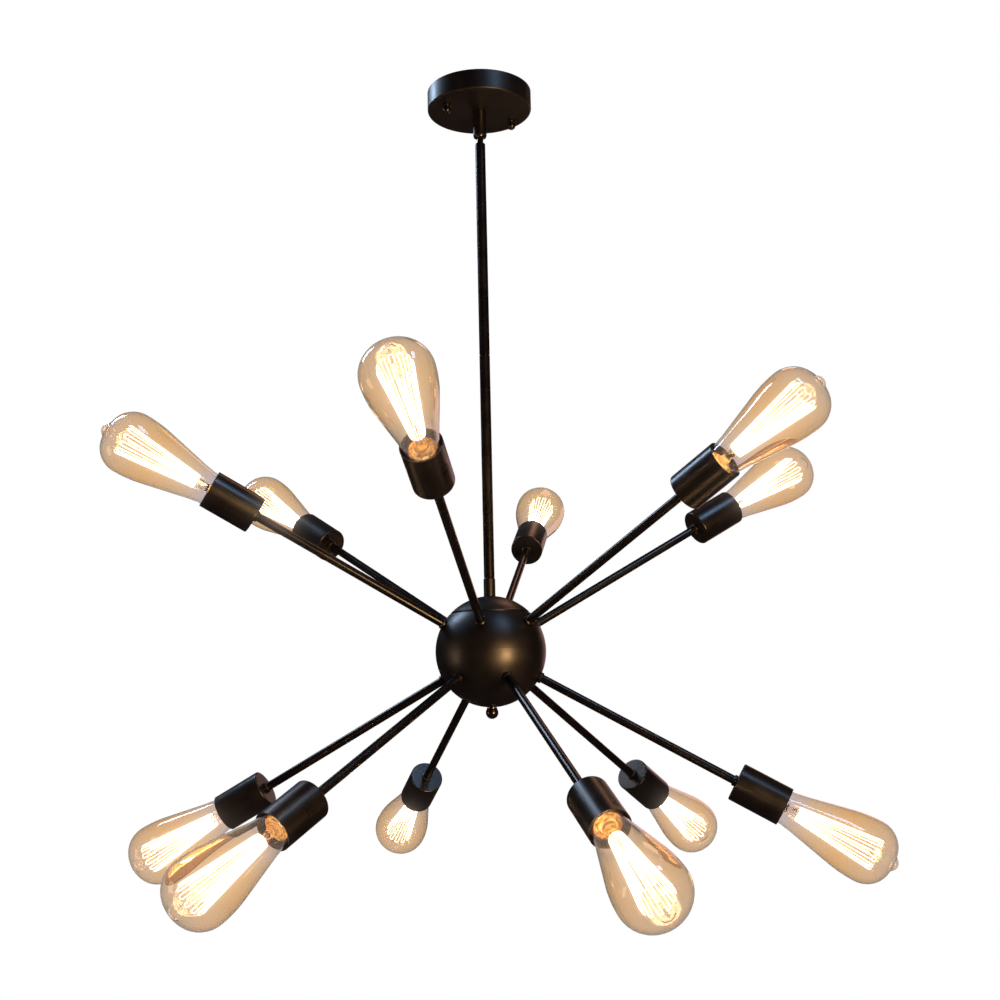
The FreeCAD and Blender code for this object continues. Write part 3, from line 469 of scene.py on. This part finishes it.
def cage_point(strand, high):
    """Where a strand of the cage starts or ends."""
    angle = math.tau * strand / STRANDS
    radius, height = (CAGE_TOP, CAGE_HIGH) if high else (CAGE_FOOT, CAGE_LOW)
    return Vector((radius * math.cos(angle), radius * math.sin(angle), height)) * MM


def half_turn(start, end):
    """Carry the selected end of the wire over to the next strand."""
    middle = (start + end) / 2
    axis = Vector((middle.x, middle.y, 0)).normalized()
    bpy.ops.mesh.spin(steps=5, angle=math.pi, center=middle, axis=axis)


clear_selection()
start = cage_point(0, False)
bpy.ops.mesh.primitive_circle_add(vertices=6, radius=WIRE * MM, location=start)
filament = bpy.context.object
filament.name = filament.data.name = "filament"
bpy.ops.object.transform_apply(location=True)
bpy.ops.object.mode_set(mode="EDIT")
bpy.ops.mesh.select_all(action="SELECT")
rise = cage_point(0, True) - start
bpy.ops.mesh.extrude_edges_move(TRANSFORM_OT_translate={"value": rise})
half_turn(cage_point(0, True), cage_point(1, True))
fall = cage_point(1, False) - cage_point(1, True)
bpy.ops.mesh.extrude_edges_move(TRANSFORM_OT_translate={"value": fall})
half_turn(cage_point(1, False), cage_point(2, False))
bpy.ops.mesh.select_all(action="SELECT")
copies = STRANDS // 2 - 1
bpy.ops.mesh.spin(steps=copies, angle=math.tau * 2 / STRANDS * copies, dupli=True,
                  center=(0, 0, 0), axis=(0, 0, 1))
bpy.ops.mesh.select_all(action="SELECT")
bpy.ops.mesh.remove_doubles(threshold=0.02 * MM)
bpy.ops.mesh.normals_make_consistent(inside=False)
bpy.ops.object.mode_set(mode="OBJECT")
smooth(filament, 60)
heights = [v.co.z / MM for v in filament.data.vertices]
print("filament faces:", len(filament.data.polygons), "from", round(min(heights), 1), "to",
      round(max(heights), 1), "mm")

# %% [markdown]
# ### Hooks and lead wires
#
# Thin wires stand out from the button and from the pinch like the spokes of a wheel, and each ends
# in a hook round the filament. Two thicker leads rise from the pinch to the ends of the filament.

# %% Bend one hook of each ring and repeat it
HOOK_WIRE, HOOK_ROUND, HOOK_TURN = 0.22, 0.9, math.radians(200)
HOOKS = STRANDS // 2


def spokes(name, height, inner, outer, rise):
    """A ring of spokes between strands, each a thin wire that lifts a little and hooks over."""
    clear_selection()
    bpy.ops.mesh.primitive_circle_add(vertices=5, radius=HOOK_WIRE * MM,
                                      location=(inner * MM, 0, height * MM),
                                      rotation=(0, math.radians(90), 0))
    ring = bpy.context.object
    ring.name = ring.data.name = name
    bpy.ops.object.transform_apply(location=True, rotation=True)
    bpy.ops.object.mode_set(mode="EDIT")
    bpy.ops.mesh.select_all(action="SELECT")
    reach = ((outer - inner) * MM, 0, rise * MM)
    bpy.ops.mesh.extrude_edges_move(TRANSFORM_OT_translate={"value": reach})
    centre = (outer * MM, 0, (height + rise + math.copysign(HOOK_ROUND, rise)) * MM)
    bpy.ops.mesh.spin(steps=5, angle=math.copysign(HOOK_TURN, rise), center=centre, axis=(0, -1, 0))
    bpy.ops.mesh.select_all(action="SELECT")
    between = -math.tau / STRANDS * (0.5 if rise > 0 else 1.5)
    bpy.ops.transform.rotate(value=between, orient_axis="Z", center_override=(0, 0, 0))
    bpy.ops.mesh.spin(steps=HOOKS - 1, angle=math.tau * (HOOKS - 1) / HOOKS, dupli=True,
                      center=(0, 0, 0), axis=(0, 0, 1))
    bpy.ops.mesh.select_all(action="SELECT")
    bpy.ops.mesh.normals_make_consistent(inside=False)
    bpy.ops.object.mode_set(mode="OBJECT")
    return ring


upper_hooks = spokes("upper_hooks", BUTTON, 2.4, CAGE_TOP, 0.8)
lower_hooks = spokes("lower_hooks", PINCH_HIGH, 1.2, CAGE_FOOT, -2.0)
LEAD_SIDE, LEAD_END = 3.4, 356.0
LEAD_SPREAD, LEAD_DROP = CAGE_FOOT - 3.0, 4.0
leads = []
for side in (1, -1):
    lead = turn("lead", [(0.0, PINCH_LOW), (0.4, PINCH_LOW), (0.4, 349.0), (0.35, LEAD_END),
                         (0.0, LEAD_END + 0.2)], 8)
    edit(lead)
    bpy.ops.mesh.select_all(action="SELECT")
    bpy.ops.transform.translate(value=(side * LEAD_SIDE * MM, 0, 0))
    bpy.ops.mesh.select_all(action="DESELECT")
    select_where(lead, lambda v: v.co.z / MM > LEAD_END - 1)
    bpy.ops.transform.translate(value=(side * LEAD_SPREAD * MM, 0, -LEAD_DROP * MM))
    bpy.ops.object.mode_set(mode="OBJECT")
    leads.append(lead)
hooks = join(upper_hooks, lower_hooks, *leads)
hooks.name = hooks.data.name = "hooks"
smooth(hooks, 60)
print("hook faces:", len(hooks.data.polygons))

# %% [markdown]
# ### The screw cap
#
# The cap is thin brass, rolled into a coarse round thread, one turn every 3.6 mm. One wave of the
# thread is drawn and the Screw modifier carries it round and up. Its ends are cut level and plain
# rings are added: the rim that holds the glass, the shoulder, the black glass insulator and the
# soldered contact. Inside lies a disc of ridged cement, the golden floor that shows through the
# neck of the glass.

# %% Roll a thread and cut its ends level
WAVE_PARTS = 8


def rolled_thread(name, radius, depth, pitch, low, high, steps):
    """A round thread about the upright axis, from one height to the other, in millimetres."""
    def wave(height):
        return radius - depth / 2 + depth / 2 * math.cos(math.tau * height / pitch)

    clear_selection()
    bpy.ops.mesh.primitive_plane_add(size=MM)
    thread = bpy.context.object
    thread.name = thread.data.name = name
    bpy.ops.object.mode_set(mode="EDIT")
    bpy.ops.mesh.select_all(action="SELECT")
    bpy.ops.mesh.merge(type="CENTER")
    lowest = low - pitch * 1.5
    bpy.ops.transform.translate(value=(wave(0) * MM, 0, lowest * MM))
    part = pitch / WAVE_PARTS
    for number in range(WAVE_PARTS):
        step = ((wave((number + 1) * part) - wave(number * part)) * MM, 0, part * MM)
        bpy.ops.mesh.extrude_vertices_move(TRANSFORM_OT_translate={"value": step})
    bpy.ops.object.mode_set(mode="OBJECT")
    turns = int((high - lowest) / pitch) + 2
    finish_with(thread, "SCREW", angle=math.tau, screw_offset=pitch * MM, iterations=turns,
                steps=steps, render_steps=steps, use_merge_vertices=True,
                merge_threshold=0.005 * MM)
    edit(thread)
    for level, below in ((low, True), (high, False)):
        bpy.ops.mesh.select_all(action="SELECT")
        bpy.ops.mesh.bisect(plane_co=(0, 0, level * MM), plane_no=(0, 0, 1), clear_inner=below,
                            clear_outer=not below)
    bpy.ops.object.mode_set(mode="OBJECT")
    smooth(thread, 80)
    return thread


# %% Roll the cap's thread and add the rings
THREAD_LOW, THREAD_HIGH = 310.6, 325.4
THREAD_DEPTH, THREAD_PITCH = 0.68, 3.6
thread = rolled_thread("thread", CAP_RADIUS - 0.02, THREAD_DEPTH, THREAD_PITCH,
                       THREAD_LOW, THREAD_HIGH, 32)
rim = turn("rim", [(12.3, THREAD_HIGH - 0.6), (12.9, THREAD_HIGH - 0.3), (13.05, THREAD_HIGH + 0.6),
                   (13.05, 328.4), (13.3, 328.9), (13.5, 329.5), (13.2, 330.0), (12.8, 329.6),
                   (12.6, 328.6), (12.5, THREAD_HIGH)], 48)
shoulder = turn("shoulder", [(13.0, THREAD_LOW + 0.5), (12.9, THREAD_LOW - 0.7), (12.2, 308.4),
                             (10.6, 306.6), (8.4, 305.4), (7.6, 305.0)], 48)
smooth(rim, 40)
smooth(shoulder, 40)
black_glass = turn("black_glass", [(8.2, 305.6), (7.5, 305.0), (6.4, 303.8), (5.0, 302.9),
                                   (4.4, 302.8), (4.2, 303.4), (0.0, 303.4)], 32)
smooth(black_glass, 40)
contact = turn("contact", [(4.3, 303.2), (4.4, 302.6), (3.8, 302.1), (2.4, 301.85), (1.0, 301.8),
                           (0.0, 301.8)], 24)
smooth(contact, 60)
cement = turn("cement", [(12.4, 329.2), (11.7, 328.6), (12.2, 327.6), (11.3, 326.8), (11.8, 325.8),
                         (10.6, 324.8), (10.9, 323.8), (9.2, 322.6), (6.4, 321.4), (3.0, 320.6),
                         (0.0, 320.4)], 32)
smooth(cement, 60)
print("cap thread faces:", len(thread.data.polygons))

# %% [markdown]
# ### Materials of the bulb
#
# The glass is lightly smoked with amber. Clear glass is a Principled shader with full transmission;
# its colour runs from gold round the belly to a greyer tint at the neck and the dome, along the
# height that a UV map carries. At the outline the eye looks along the wall, through much more
# glass, and a Layer Weight raised to a power darkens just that thin line. The cage shines far
# brighter than the lamps of the studio.

# %% Tint the glass along its height
def lay_height_map(piece, low, high):
    """A UV map that runs round the piece and, from 0 to 1, up its height."""
    layer = piece.data.uv_layers.new(name="height")
    for loop in piece.data.loops:
        spot = piece.data.vertices[loop.vertex_index].co
        round_part = (math.atan2(spot.y, spot.x) / math.tau) % 1.0
        layer.data[loop.index].uv = (round_part, (spot.z / MM - low) / (high - low))


lay_height_map(envelope, GLASS_FOOT, nub[-1][1])

# Where the tint changes, as a part of the height from the neck to the tip, and the tint there.
GLASS_TINTS = ((0.05, (0.73, 0.66, 0.67)), (0.22, (0.78, 0.65, 0.52)), (0.55, (0.84, 0.635, 0.415)),
               (0.85, (0.80, 0.655, 0.51)), (1.0, (0.78, 0.68, 0.60)))
EDGE_POWER, EDGE_TINT = 4.0, (0.30, 0.22, 0.18)

amber, tree, shader = finish("amber_glass", (0.80, 0.66, 0.50), 0.0, Transmission_Weight=1.0,
                             IOR=1.45)
height_map = tree.nodes.new("ShaderNodeUVMap")
height_map.uv_map = "height"
split = tree.nodes.new("ShaderNodeSeparateXYZ")
tree.links.new(height_map.outputs["UV"], split.inputs["Vector"])
ramp = tree.nodes.new("ShaderNodeValToRGB")
stops = ramp.color_ramp.elements
stops[0].position, stops[1].position = GLASS_TINTS[0][0], GLASS_TINTS[-1][0]
for position, tint in GLASS_TINTS[1:-1]:
    stops.new(position)
for stop, (position, tint) in zip(stops, GLASS_TINTS):
    stop.color = (*tint, 1)
tree.links.new(split.outputs["Y"], ramp.inputs["Fac"])
edge = tree.nodes.new("ShaderNodeLayerWeight")
edge.inputs["Blend"].default_value = 0.5
narrow = tree.nodes.new("ShaderNodeMath")
narrow.operation = "POWER"
narrow.inputs[1].default_value = EDGE_POWER
tree.links.new(edge.outputs["Facing"], narrow.inputs[0])
darker = tree.nodes.new("ShaderNodeMix")
darker.data_type = "RGBA"
darker.blend_type = "MULTIPLY"
tree.links.new(narrow.outputs["Value"], darker.inputs["Factor"])
tree.links.new(ramp.outputs["Color"], darker.inputs["A"])
darker.inputs["B"].default_value = (*EDGE_TINT, 1)
tree.links.new(darker.outputs["Result"], shader.inputs["Base Color"])
waves = add_noise(tree, 45, 1.0)
raise_skin(tree, shader, waves.outputs["Fac"], 0.05, 0.001)
print("tints along the glass:", len(stops))

# %% Stem glass, glowing wire, nickel, solder and warm cement
stem_glass, tree, shader = finish("stem_glass", (0.93, 0.90, 0.86), 0.02, Transmission_Weight=1.0,
                                  IOR=1.5)
streaks = add_noise(tree, 160, 2.0)
raise_skin(tree, shader, streaks.outputs["Fac"], 0.1, 0.0006)

glow, tree, shader = finish("glowing_wire", (1.0, 0.72, 0.36), 0.6, Emission_Strength=8.5)
shader.inputs["Emission Color"].default_value = (1.0, 0.92, 0.76, 1)
glow.cycles.emission_sampling = "NONE"

nickel = grained("nickel_wire", (0.66, 0.62, 0.55), 0.3, 1.0, 500, dull=(0.22, 0.42))
solder = grained("solder", (0.60, 0.60, 0.58), 0.4, 1.0, 600, dull=(0.3, 0.55), skin=0.3,
                 depth=0.0004)
warm_cement = grained("warm_cement", (0.5, 0.27, 0.07), 0.5, 0.0, 260, 4.0,
                      tones=((0.14, 0.085, 0.025), (0.85, 0.72, 0.32)), skin=0.5, depth=0.001)

for piece, material in ((envelope, amber), (stem, stem_glass), (filament, glow), (hooks, nickel),
                        (thread, brass), (rim, brass), (shoulder, brass), (black_glass, insulator),
                        (contact, solder), (cement, warm_cement)):
    piece.data.materials.clear()
    piece.data.materials.append(material)
screw_cap = join(thread, rim, shoulder, black_glass, contact, cement)
screw_cap.name = screw_cap.data.name = "screw_cap"
print("screw cap faces:", len(screw_cap.data.polygons), "in", len(screw_cap.data.materials),
      "finishes")

# %% [markdown]
# ### A bulb for every arm
#
# Each bulb slides out of its socket along its arm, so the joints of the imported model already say
# which way the arms point. The upright bulb is turned to that line about the middle of the hub and
# moved with it.

# %% Copy the bulb onto the twelve arms
HUB = Vector((0, 0, -0.625))
UP = Vector((0, 0, 1))
BULB_PIECES = {"glass": envelope, "stem": stem, "filament": filament, "hooks": hooks,
               "cap": screw_cap}
SLOTS = {"glass": "amber_glass", "stem": "amber_glass", "cap": "brass"}
# No two bulbs of a tier stop at the same turn: the turn before the first and the step, in degrees.
FIRST_TURN, TURN_STEP = 444, 20


def copy_to(pattern, name, place):
    """A copy of a finished piece under its own name, with its mesh moved to its place."""
    piece = pattern.copy()
    piece.data = pattern.data.copy()
    piece.name = piece.data.name = name
    scene.collection.objects.link(piece)
    piece.data.transform(place)
    return piece


arm_lines = {joint["child"]: Vector(joint["axis"]).normalized() for joint in frame["joints"]
             if joint["child"].startswith("bulb_")}
for body, way in arm_lines.items():
    turned = UP.rotation_difference(way).to_matrix().to_4x4()
    around = Matrix.Rotation(math.radians(FIRST_TURN + TURN_STEP * int(body[-1])), 4, "Z")
    place = Matrix.Translation(HUB) @ turned @ around
    for kind, pattern in BULB_PIECES.items():
        piece = copy_to(pattern, f"{body}_{kind}", place)
        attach(piece, body)
        if kind in SLOTS:
            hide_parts(body)
        if kind in ("glass", "stem"):
            piece.visible_shadow = False
for pattern in BULB_PIECES.values():
    bpy.data.objects.remove(pattern)
print("bulbs made:", len(arm_lines))

# %% [markdown]
# ## The dome on the hub
#
# The top of the hub is a separate spun dome that stands on the ball's inner lip. Its rim is rolled
# under, so that a dark joint about a millimetre high runs round the ball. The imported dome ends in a
# sharp edge. Here the same dome is turned again with the small round of the rolled rim, from the
# hub's own radius.

# %% Turn the dome with a rolled rim
HUB_RADIUS, DOME_WALL = 58.0, 1.2
SHELL_TOP, RIM_LEVEL = 39.4, 40.4
SEAT_INNER, SEAT_OUTER, PIPE_HOLE = 38.4, 40.0, 4.05
RIM_ROUND, RIM_WIDTH = 0.45, 0.4
DOME_STEPS = 24


def on_ball(radius, distance):
    """The point of a ball's half profile at a distance from the upright axis."""
    return (distance, math.sqrt(radius * radius - distance * distance))


rim_edge = math.sqrt(HUB_RADIUS ** 2 - (RIM_LEVEL + RIM_ROUND) ** 2)
rolled_rim = arc((rim_edge - RIM_ROUND, RIM_LEVEL + RIM_ROUND), RIM_ROUND, -90, 20, 5)
outer_width = rim_edge - RIM_WIDTH - PIPE_HOLE
outer = [on_ball(HUB_RADIUS, PIPE_HOLE + outer_width * part / DOME_STEPS)
         for part in range(DOME_STEPS, -1, -1)]
inner_width = SEAT_INNER - PIPE_HOLE
inner = [on_ball(HUB_RADIUS - DOME_WALL, PIPE_HOLE + inner_width * part / (DOME_STEPS // 2))
         for part in range(DOME_STEPS // 2 + 1)]
dome_profile = [(SEAT_INNER, SHELL_TOP), (SEAT_OUTER, SHELL_TOP), (SEAT_OUTER, RIM_LEVEL)]
dome_profile += rolled_rim + outer + inner + [(SEAT_INNER, SHELL_TOP)]
hub_dome = turn("hub_dome", dome_profile, 96)
hub_dome.data.transform(Matrix.Translation(HUB))
hub_dome.data.materials.append(satin_black)
smooth(hub_dome, 40)
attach(hub_dome, "fixture")
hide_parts("hub_cap")
print("dome faces:", len(hub_dome.data.polygons))

# %% [markdown]
# ## Inside the canopy
#
# Seen from the ceiling's side, the canopy is full of small hardware. The twist-on connectors are
# moulded cones with flutes for the fingers and a lip round the mouth. One is turned on the lathe,
# every other pair of its upright rows is pressed inwards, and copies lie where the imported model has
# its plain cones.

# %% Press the flutes of one connector and lay three of them down
ROWS = 48
FLUTE_LOW, FLUTE_HIGH, FLUTE_SHARE = 2.5, 15.0, 0.88
connector = turn("connector", [
    (0.0, 0.0), (2.6, 0.0), (2.7, 0.9), (4.0, 0.9), (4.2, 0.1), (4.5, 0.0), (4.9, 0.3), (4.9, 1.4),
    (4.7, 1.9), (4.65, 3.0), (4.35, 7.0), (4.0, 11.5), (3.8, 14.6), (3.6, 16.2), (3.1, 17.4),
    (2.2, 17.9), (0.0, 18.0)], ROWS)
edit(connector)


def in_flute(vertex):
    """Two of every four rows, between the lip and the closed end."""
    row = round(math.atan2(vertex.co.y, vertex.co.x) / math.tau * ROWS) % 4
    return row in (0, 1) and FLUTE_LOW < vertex.co.z / MM < FLUTE_HIGH


print("flute vertices:", select_where(connector, in_flute))
bpy.ops.transform.resize(value=(FLUTE_SHARE, FLUTE_SHARE, 1.0), center_override=(0, 0, 0))
bpy.ops.object.mode_set(mode="OBJECT")
connector.data.materials.append(connector_plastic)
smooth(connector, 40)

# The middle of each mouth in millimetres, and the way the connector points, in degrees from +X.
CONNECTORS = {"line": ((6, 18, -15.55), 90), "neutral": ((-6, -18, -15.55), 270),
              "earth": ((24.0, -11.0, -15.55), 211)}
lie_down = Matrix.Rotation(math.radians(90), 4, "Y")
for use, (mouth, heading) in CONNECTORS.items():
    lying = Matrix.Rotation(math.radians(heading), 4, "Z") @ lie_down
    piece = copy_to(connector, f"{use}_connector", Matrix.Translation(Vector(mouth) * MM) @ lying)
    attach(piece, "canopy")
    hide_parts("wire_connectors")
bpy.data.objects.remove(connector)

# %% [markdown]
# ### Threaded studs
#
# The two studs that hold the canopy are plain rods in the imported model. Here they get a fine
# thread, made by the same rolled wave as the bulb's cap, with a pitch of 0.7 mm.

# %% Thread one stud and stand it in both places
STUD_RADIUS, STUD_DEPTH, STUD_PITCH = 2.0, 0.4, 0.7
STUD_FOOT, STUD_HEAD = -30.0, -2.3
STUD_CIRCLE, STUD_TURN = 42.0, math.radians(31)
stud = rolled_thread("stud", STUD_RADIUS, STUD_DEPTH, STUD_PITCH, STUD_FOOT, STUD_HEAD, 16)
edit(stud)
bpy.ops.mesh.select_mode(type="EDGE")
bpy.ops.mesh.select_non_manifold()
bpy.ops.mesh.edge_face_add()
bpy.ops.mesh.select_all(action="SELECT")
bpy.ops.mesh.normals_make_consistent(inside=False)
bpy.ops.object.mode_set(mode="OBJECT")
stud.data.materials.append(zinc)
spot = STUD_CIRCLE * MM * Vector((math.cos(STUD_TURN), math.sin(STUD_TURN), 0))
for number, side in enumerate((1, -1), 1):
    piece = copy_to(stud, f"canopy_stud_{number}", Matrix.Translation(side * spot))
    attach(piece, "canopy")
    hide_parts("canopy_studs")
print("stud faces:", len(stud.data.polygons))
bpy.data.objects.remove(stud)

# %% [markdown]
# ## Light
#
# The photograph was made before a white backdrop. The black enamel mirrors two pale blue windows,
# high on the left and on the right, and two warm lights lower down. A ball shows each light where
# its surface leans halfway between the light and the eye, so the four spots on the hub say where
# the lights stood. The backdrop is the world, white where the camera looks at it and dim where the
# metal mirrors it. A warm light behind draws the hub's right edge, another above draws the brown
# stripes on the cups, a dim sky fills from above, and each bulb gets a small warm lamp that rides
# with it. The floor is clear from its back, so that the chandelier can also be looked at from far
# below.

# %% The backdrop
BACKDROP, FILL = ((1, 1, 1, 1), 1.0), ((1.0, 0.72, 0.68, 1), 0.026)
world = bpy.data.worlds.new("studio")
scene.world = world
world.use_nodes = True
tree = world.node_tree
tree.nodes.clear()
seen = tree.nodes.new("ShaderNodeLightPath")
either = tree.nodes.new("ShaderNodeMath")
either.operation = "MAXIMUM"
tree.links.new(seen.outputs["Is Camera Ray"], either.inputs[0])
tree.links.new(seen.outputs["Is Transmission Ray"], either.inputs[1])
white = tree.nodes.new("ShaderNodeBackground")
white.inputs["Color"].default_value, white.inputs["Strength"].default_value = BACKDROP
dim = tree.nodes.new("ShaderNodeBackground")
dim.inputs["Color"].default_value, dim.inputs["Strength"].default_value = FILL
mixed = tree.nodes.new("ShaderNodeMixShader")
out = tree.nodes.new("ShaderNodeOutputWorld")
tree.links.new(either.outputs["Value"], mixed.inputs["Fac"])
tree.links.new(dim.outputs["Background"], mixed.inputs[1])
tree.links.new(white.outputs["Background"], mixed.inputs[2])
tree.links.new(mixed.outputs["Shader"], out.inputs["Surface"])
print("backdrop nodes:", len(tree.nodes))

# %% The floor
FLOOR_LEVEL, FLOOR_RADIUS = -2.2, 2.6
clear_selection()
bpy.ops.mesh.primitive_circle_add(vertices=96, radius=FLOOR_RADIUS, fill_type="NGON",
                                  location=(0, 0, 0))
floor = bpy.context.object
floor.name = "studio_floor"
edit(floor)
bpy.ops.mesh.select_all(action="SELECT")
bpy.ops.transform.translate(value=(0, 0, FLOOR_LEVEL))
bpy.ops.object.mode_set(mode="OBJECT")
pale, tree, shader = finish("pale_floor", (0.86, 0.86, 0.85), 0.7, Emission_Strength=0.75)
shader.inputs["Emission Color"].default_value = (1, 1, 1, 1)
mottle = add_noise(tree, 3, 2.0)
blend_colour(tree, mottle.outputs["Fac"], shader.inputs["Base Color"],
             (0.84, 0.84, 0.83), (0.88, 0.88, 0.87))
facing = tree.nodes.new("ShaderNodeNewGeometry")
clear = tree.nodes.new("ShaderNodeBsdfTransparent")
one_way = tree.nodes.new("ShaderNodeMixShader")
tree.links.new(facing.outputs["Backfacing"], one_way.inputs["Fac"])
tree.links.new(shader.outputs["BSDF"], one_way.inputs[1])
tree.links.new(clear.outputs["BSDF"], one_way.inputs[2])
tree.links.new(one_way.outputs["Shader"], tree.nodes["Material Output"].inputs["Surface"])
floor.data.materials.append(pale)
floor.visible_glossy = False
floor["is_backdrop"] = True
print("the floor lies", -FLOOR_LEVEL, "metres below the ceiling")

# %% Soft lights and the warm lamps of the bulbs
# The way from the hub, the distance in metres, the width and height, the power in watts and the
# colour.
SOFT_LIGHTS = {
    "window_left": ((-0.60, 0.36, 0.71), 2.0, (0.3, 0.7), 18, (0.50, 0.65, 0.88)),
    "window_right": ((0.36, -0.47, 0.80), 2.0, (0.3, 0.6), 9, (0.38, 0.60, 0.92)),
    "warm_right": ((0.50, -0.84, -0.17), 1.8, (0.6, 0.6), 42, (1.0, 0.57, 0.24)),
    "warm_left": ((-0.97, -0.2, -0.10), 1.8, (0.5, 0.7), 4, (1.0, 0.68, 0.45)),
    "warm_back": ((0.45, 0.88, 0.10), 2.0, (0.8, 0.8), 2.3, (1.0, 0.56, 0.52)),
    "warm_above": ((0.26, 0.56, 0.79), 2.0, (0.5, 0.5), 2.2, (1.0, 0.50, 0.30)),
    "sky": ((-0.1, 0.1, 1.0), 2.2, (2.6, 2.6), 0.9, (0.44, 0.62, 0.95)),
}
BULB_LAMP_POWER, BULB_LAMP_COLOUR = 0.45, (1.0, 0.58, 0.26)
BULB_LAMP_SIZE, BULB_LAMP_REACH = 0.012, 0.392


def hang_lamp(name, kind, place, power, colour):
    """A lamp that shows neither to the camera nor through the glass."""
    data = bpy.data.lights.new(name, kind)
    data.energy = power
    data.color = colour
    lamp = bpy.data.objects.new(name, data)
    scene.collection.objects.link(lamp)
    lamp.location = place
    lamp.visible_camera = False
    lamp.visible_transmission = False
    return lamp


for name, (way, distance, size, power, colour) in SOFT_LIGHTS.items():
    place = HUB + distance * Vector(way)
    lamp = hang_lamp(name, "AREA", place, power, colour)
    lamp.data.shape = "RECTANGLE"
    lamp.data.size, lamp.data.size_y = size
    lamp.rotation_euler = (HUB - place).to_track_quat("-Z", "Y").to_euler()

for body, way in arm_lines.items():
    lamp = hang_lamp(body + "_warm", "POINT", HUB + way * BULB_LAMP_REACH, BULB_LAMP_POWER,
                     BULB_LAMP_COLOUR)
    lamp.data.shadow_soft_size = BULB_LAMP_SIZE
    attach(lamp, body)

# %% [markdown]
# ## The glow round the filaments
#
# A camera blooms where the picture is far brighter than white. The Glare node adds that haze after
# the render, and only round the cages, because nothing else is brighter than the backdrop.

# %% Bloom and colour
BLOOM = {"Threshold": 1.2, "Strength": 0.17, "Size": 0.05, "Saturation": 0.6}
scene.view_settings.view_transform = "Standard"
scene.use_nodes = True
comp = scene.node_tree
comp.nodes.clear()
layers = comp.nodes.new("CompositorNodeRLayers")
bloom = comp.nodes.new("CompositorNodeGlare")
bloom.glare_type = "BLOOM"
for socket, setting in BLOOM.items():
    bloom.inputs[socket].default_value = setting
result = comp.nodes.new("CompositorNodeComposite")
comp.links.new(layers.outputs["Image"], bloom.inputs["Image"])
comp.links.new(bloom.outputs["Image"], result.inputs["Image"])
print("the haze starts at", BLOOM["Threshold"], "times white")

# %% [markdown]
# ## Measure the size and close
#
# The dressed chandelier should stay the size of the solids, so the largest growth beyond their box is printed.

# %% Measure both boxes and print the growth
low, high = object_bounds()
growth = max(max(cad_low[i] - low[i], high[i] - cad_high[i]) for i in range(3))
print("largest growth in millimetres:", round(growth / MM, 2))
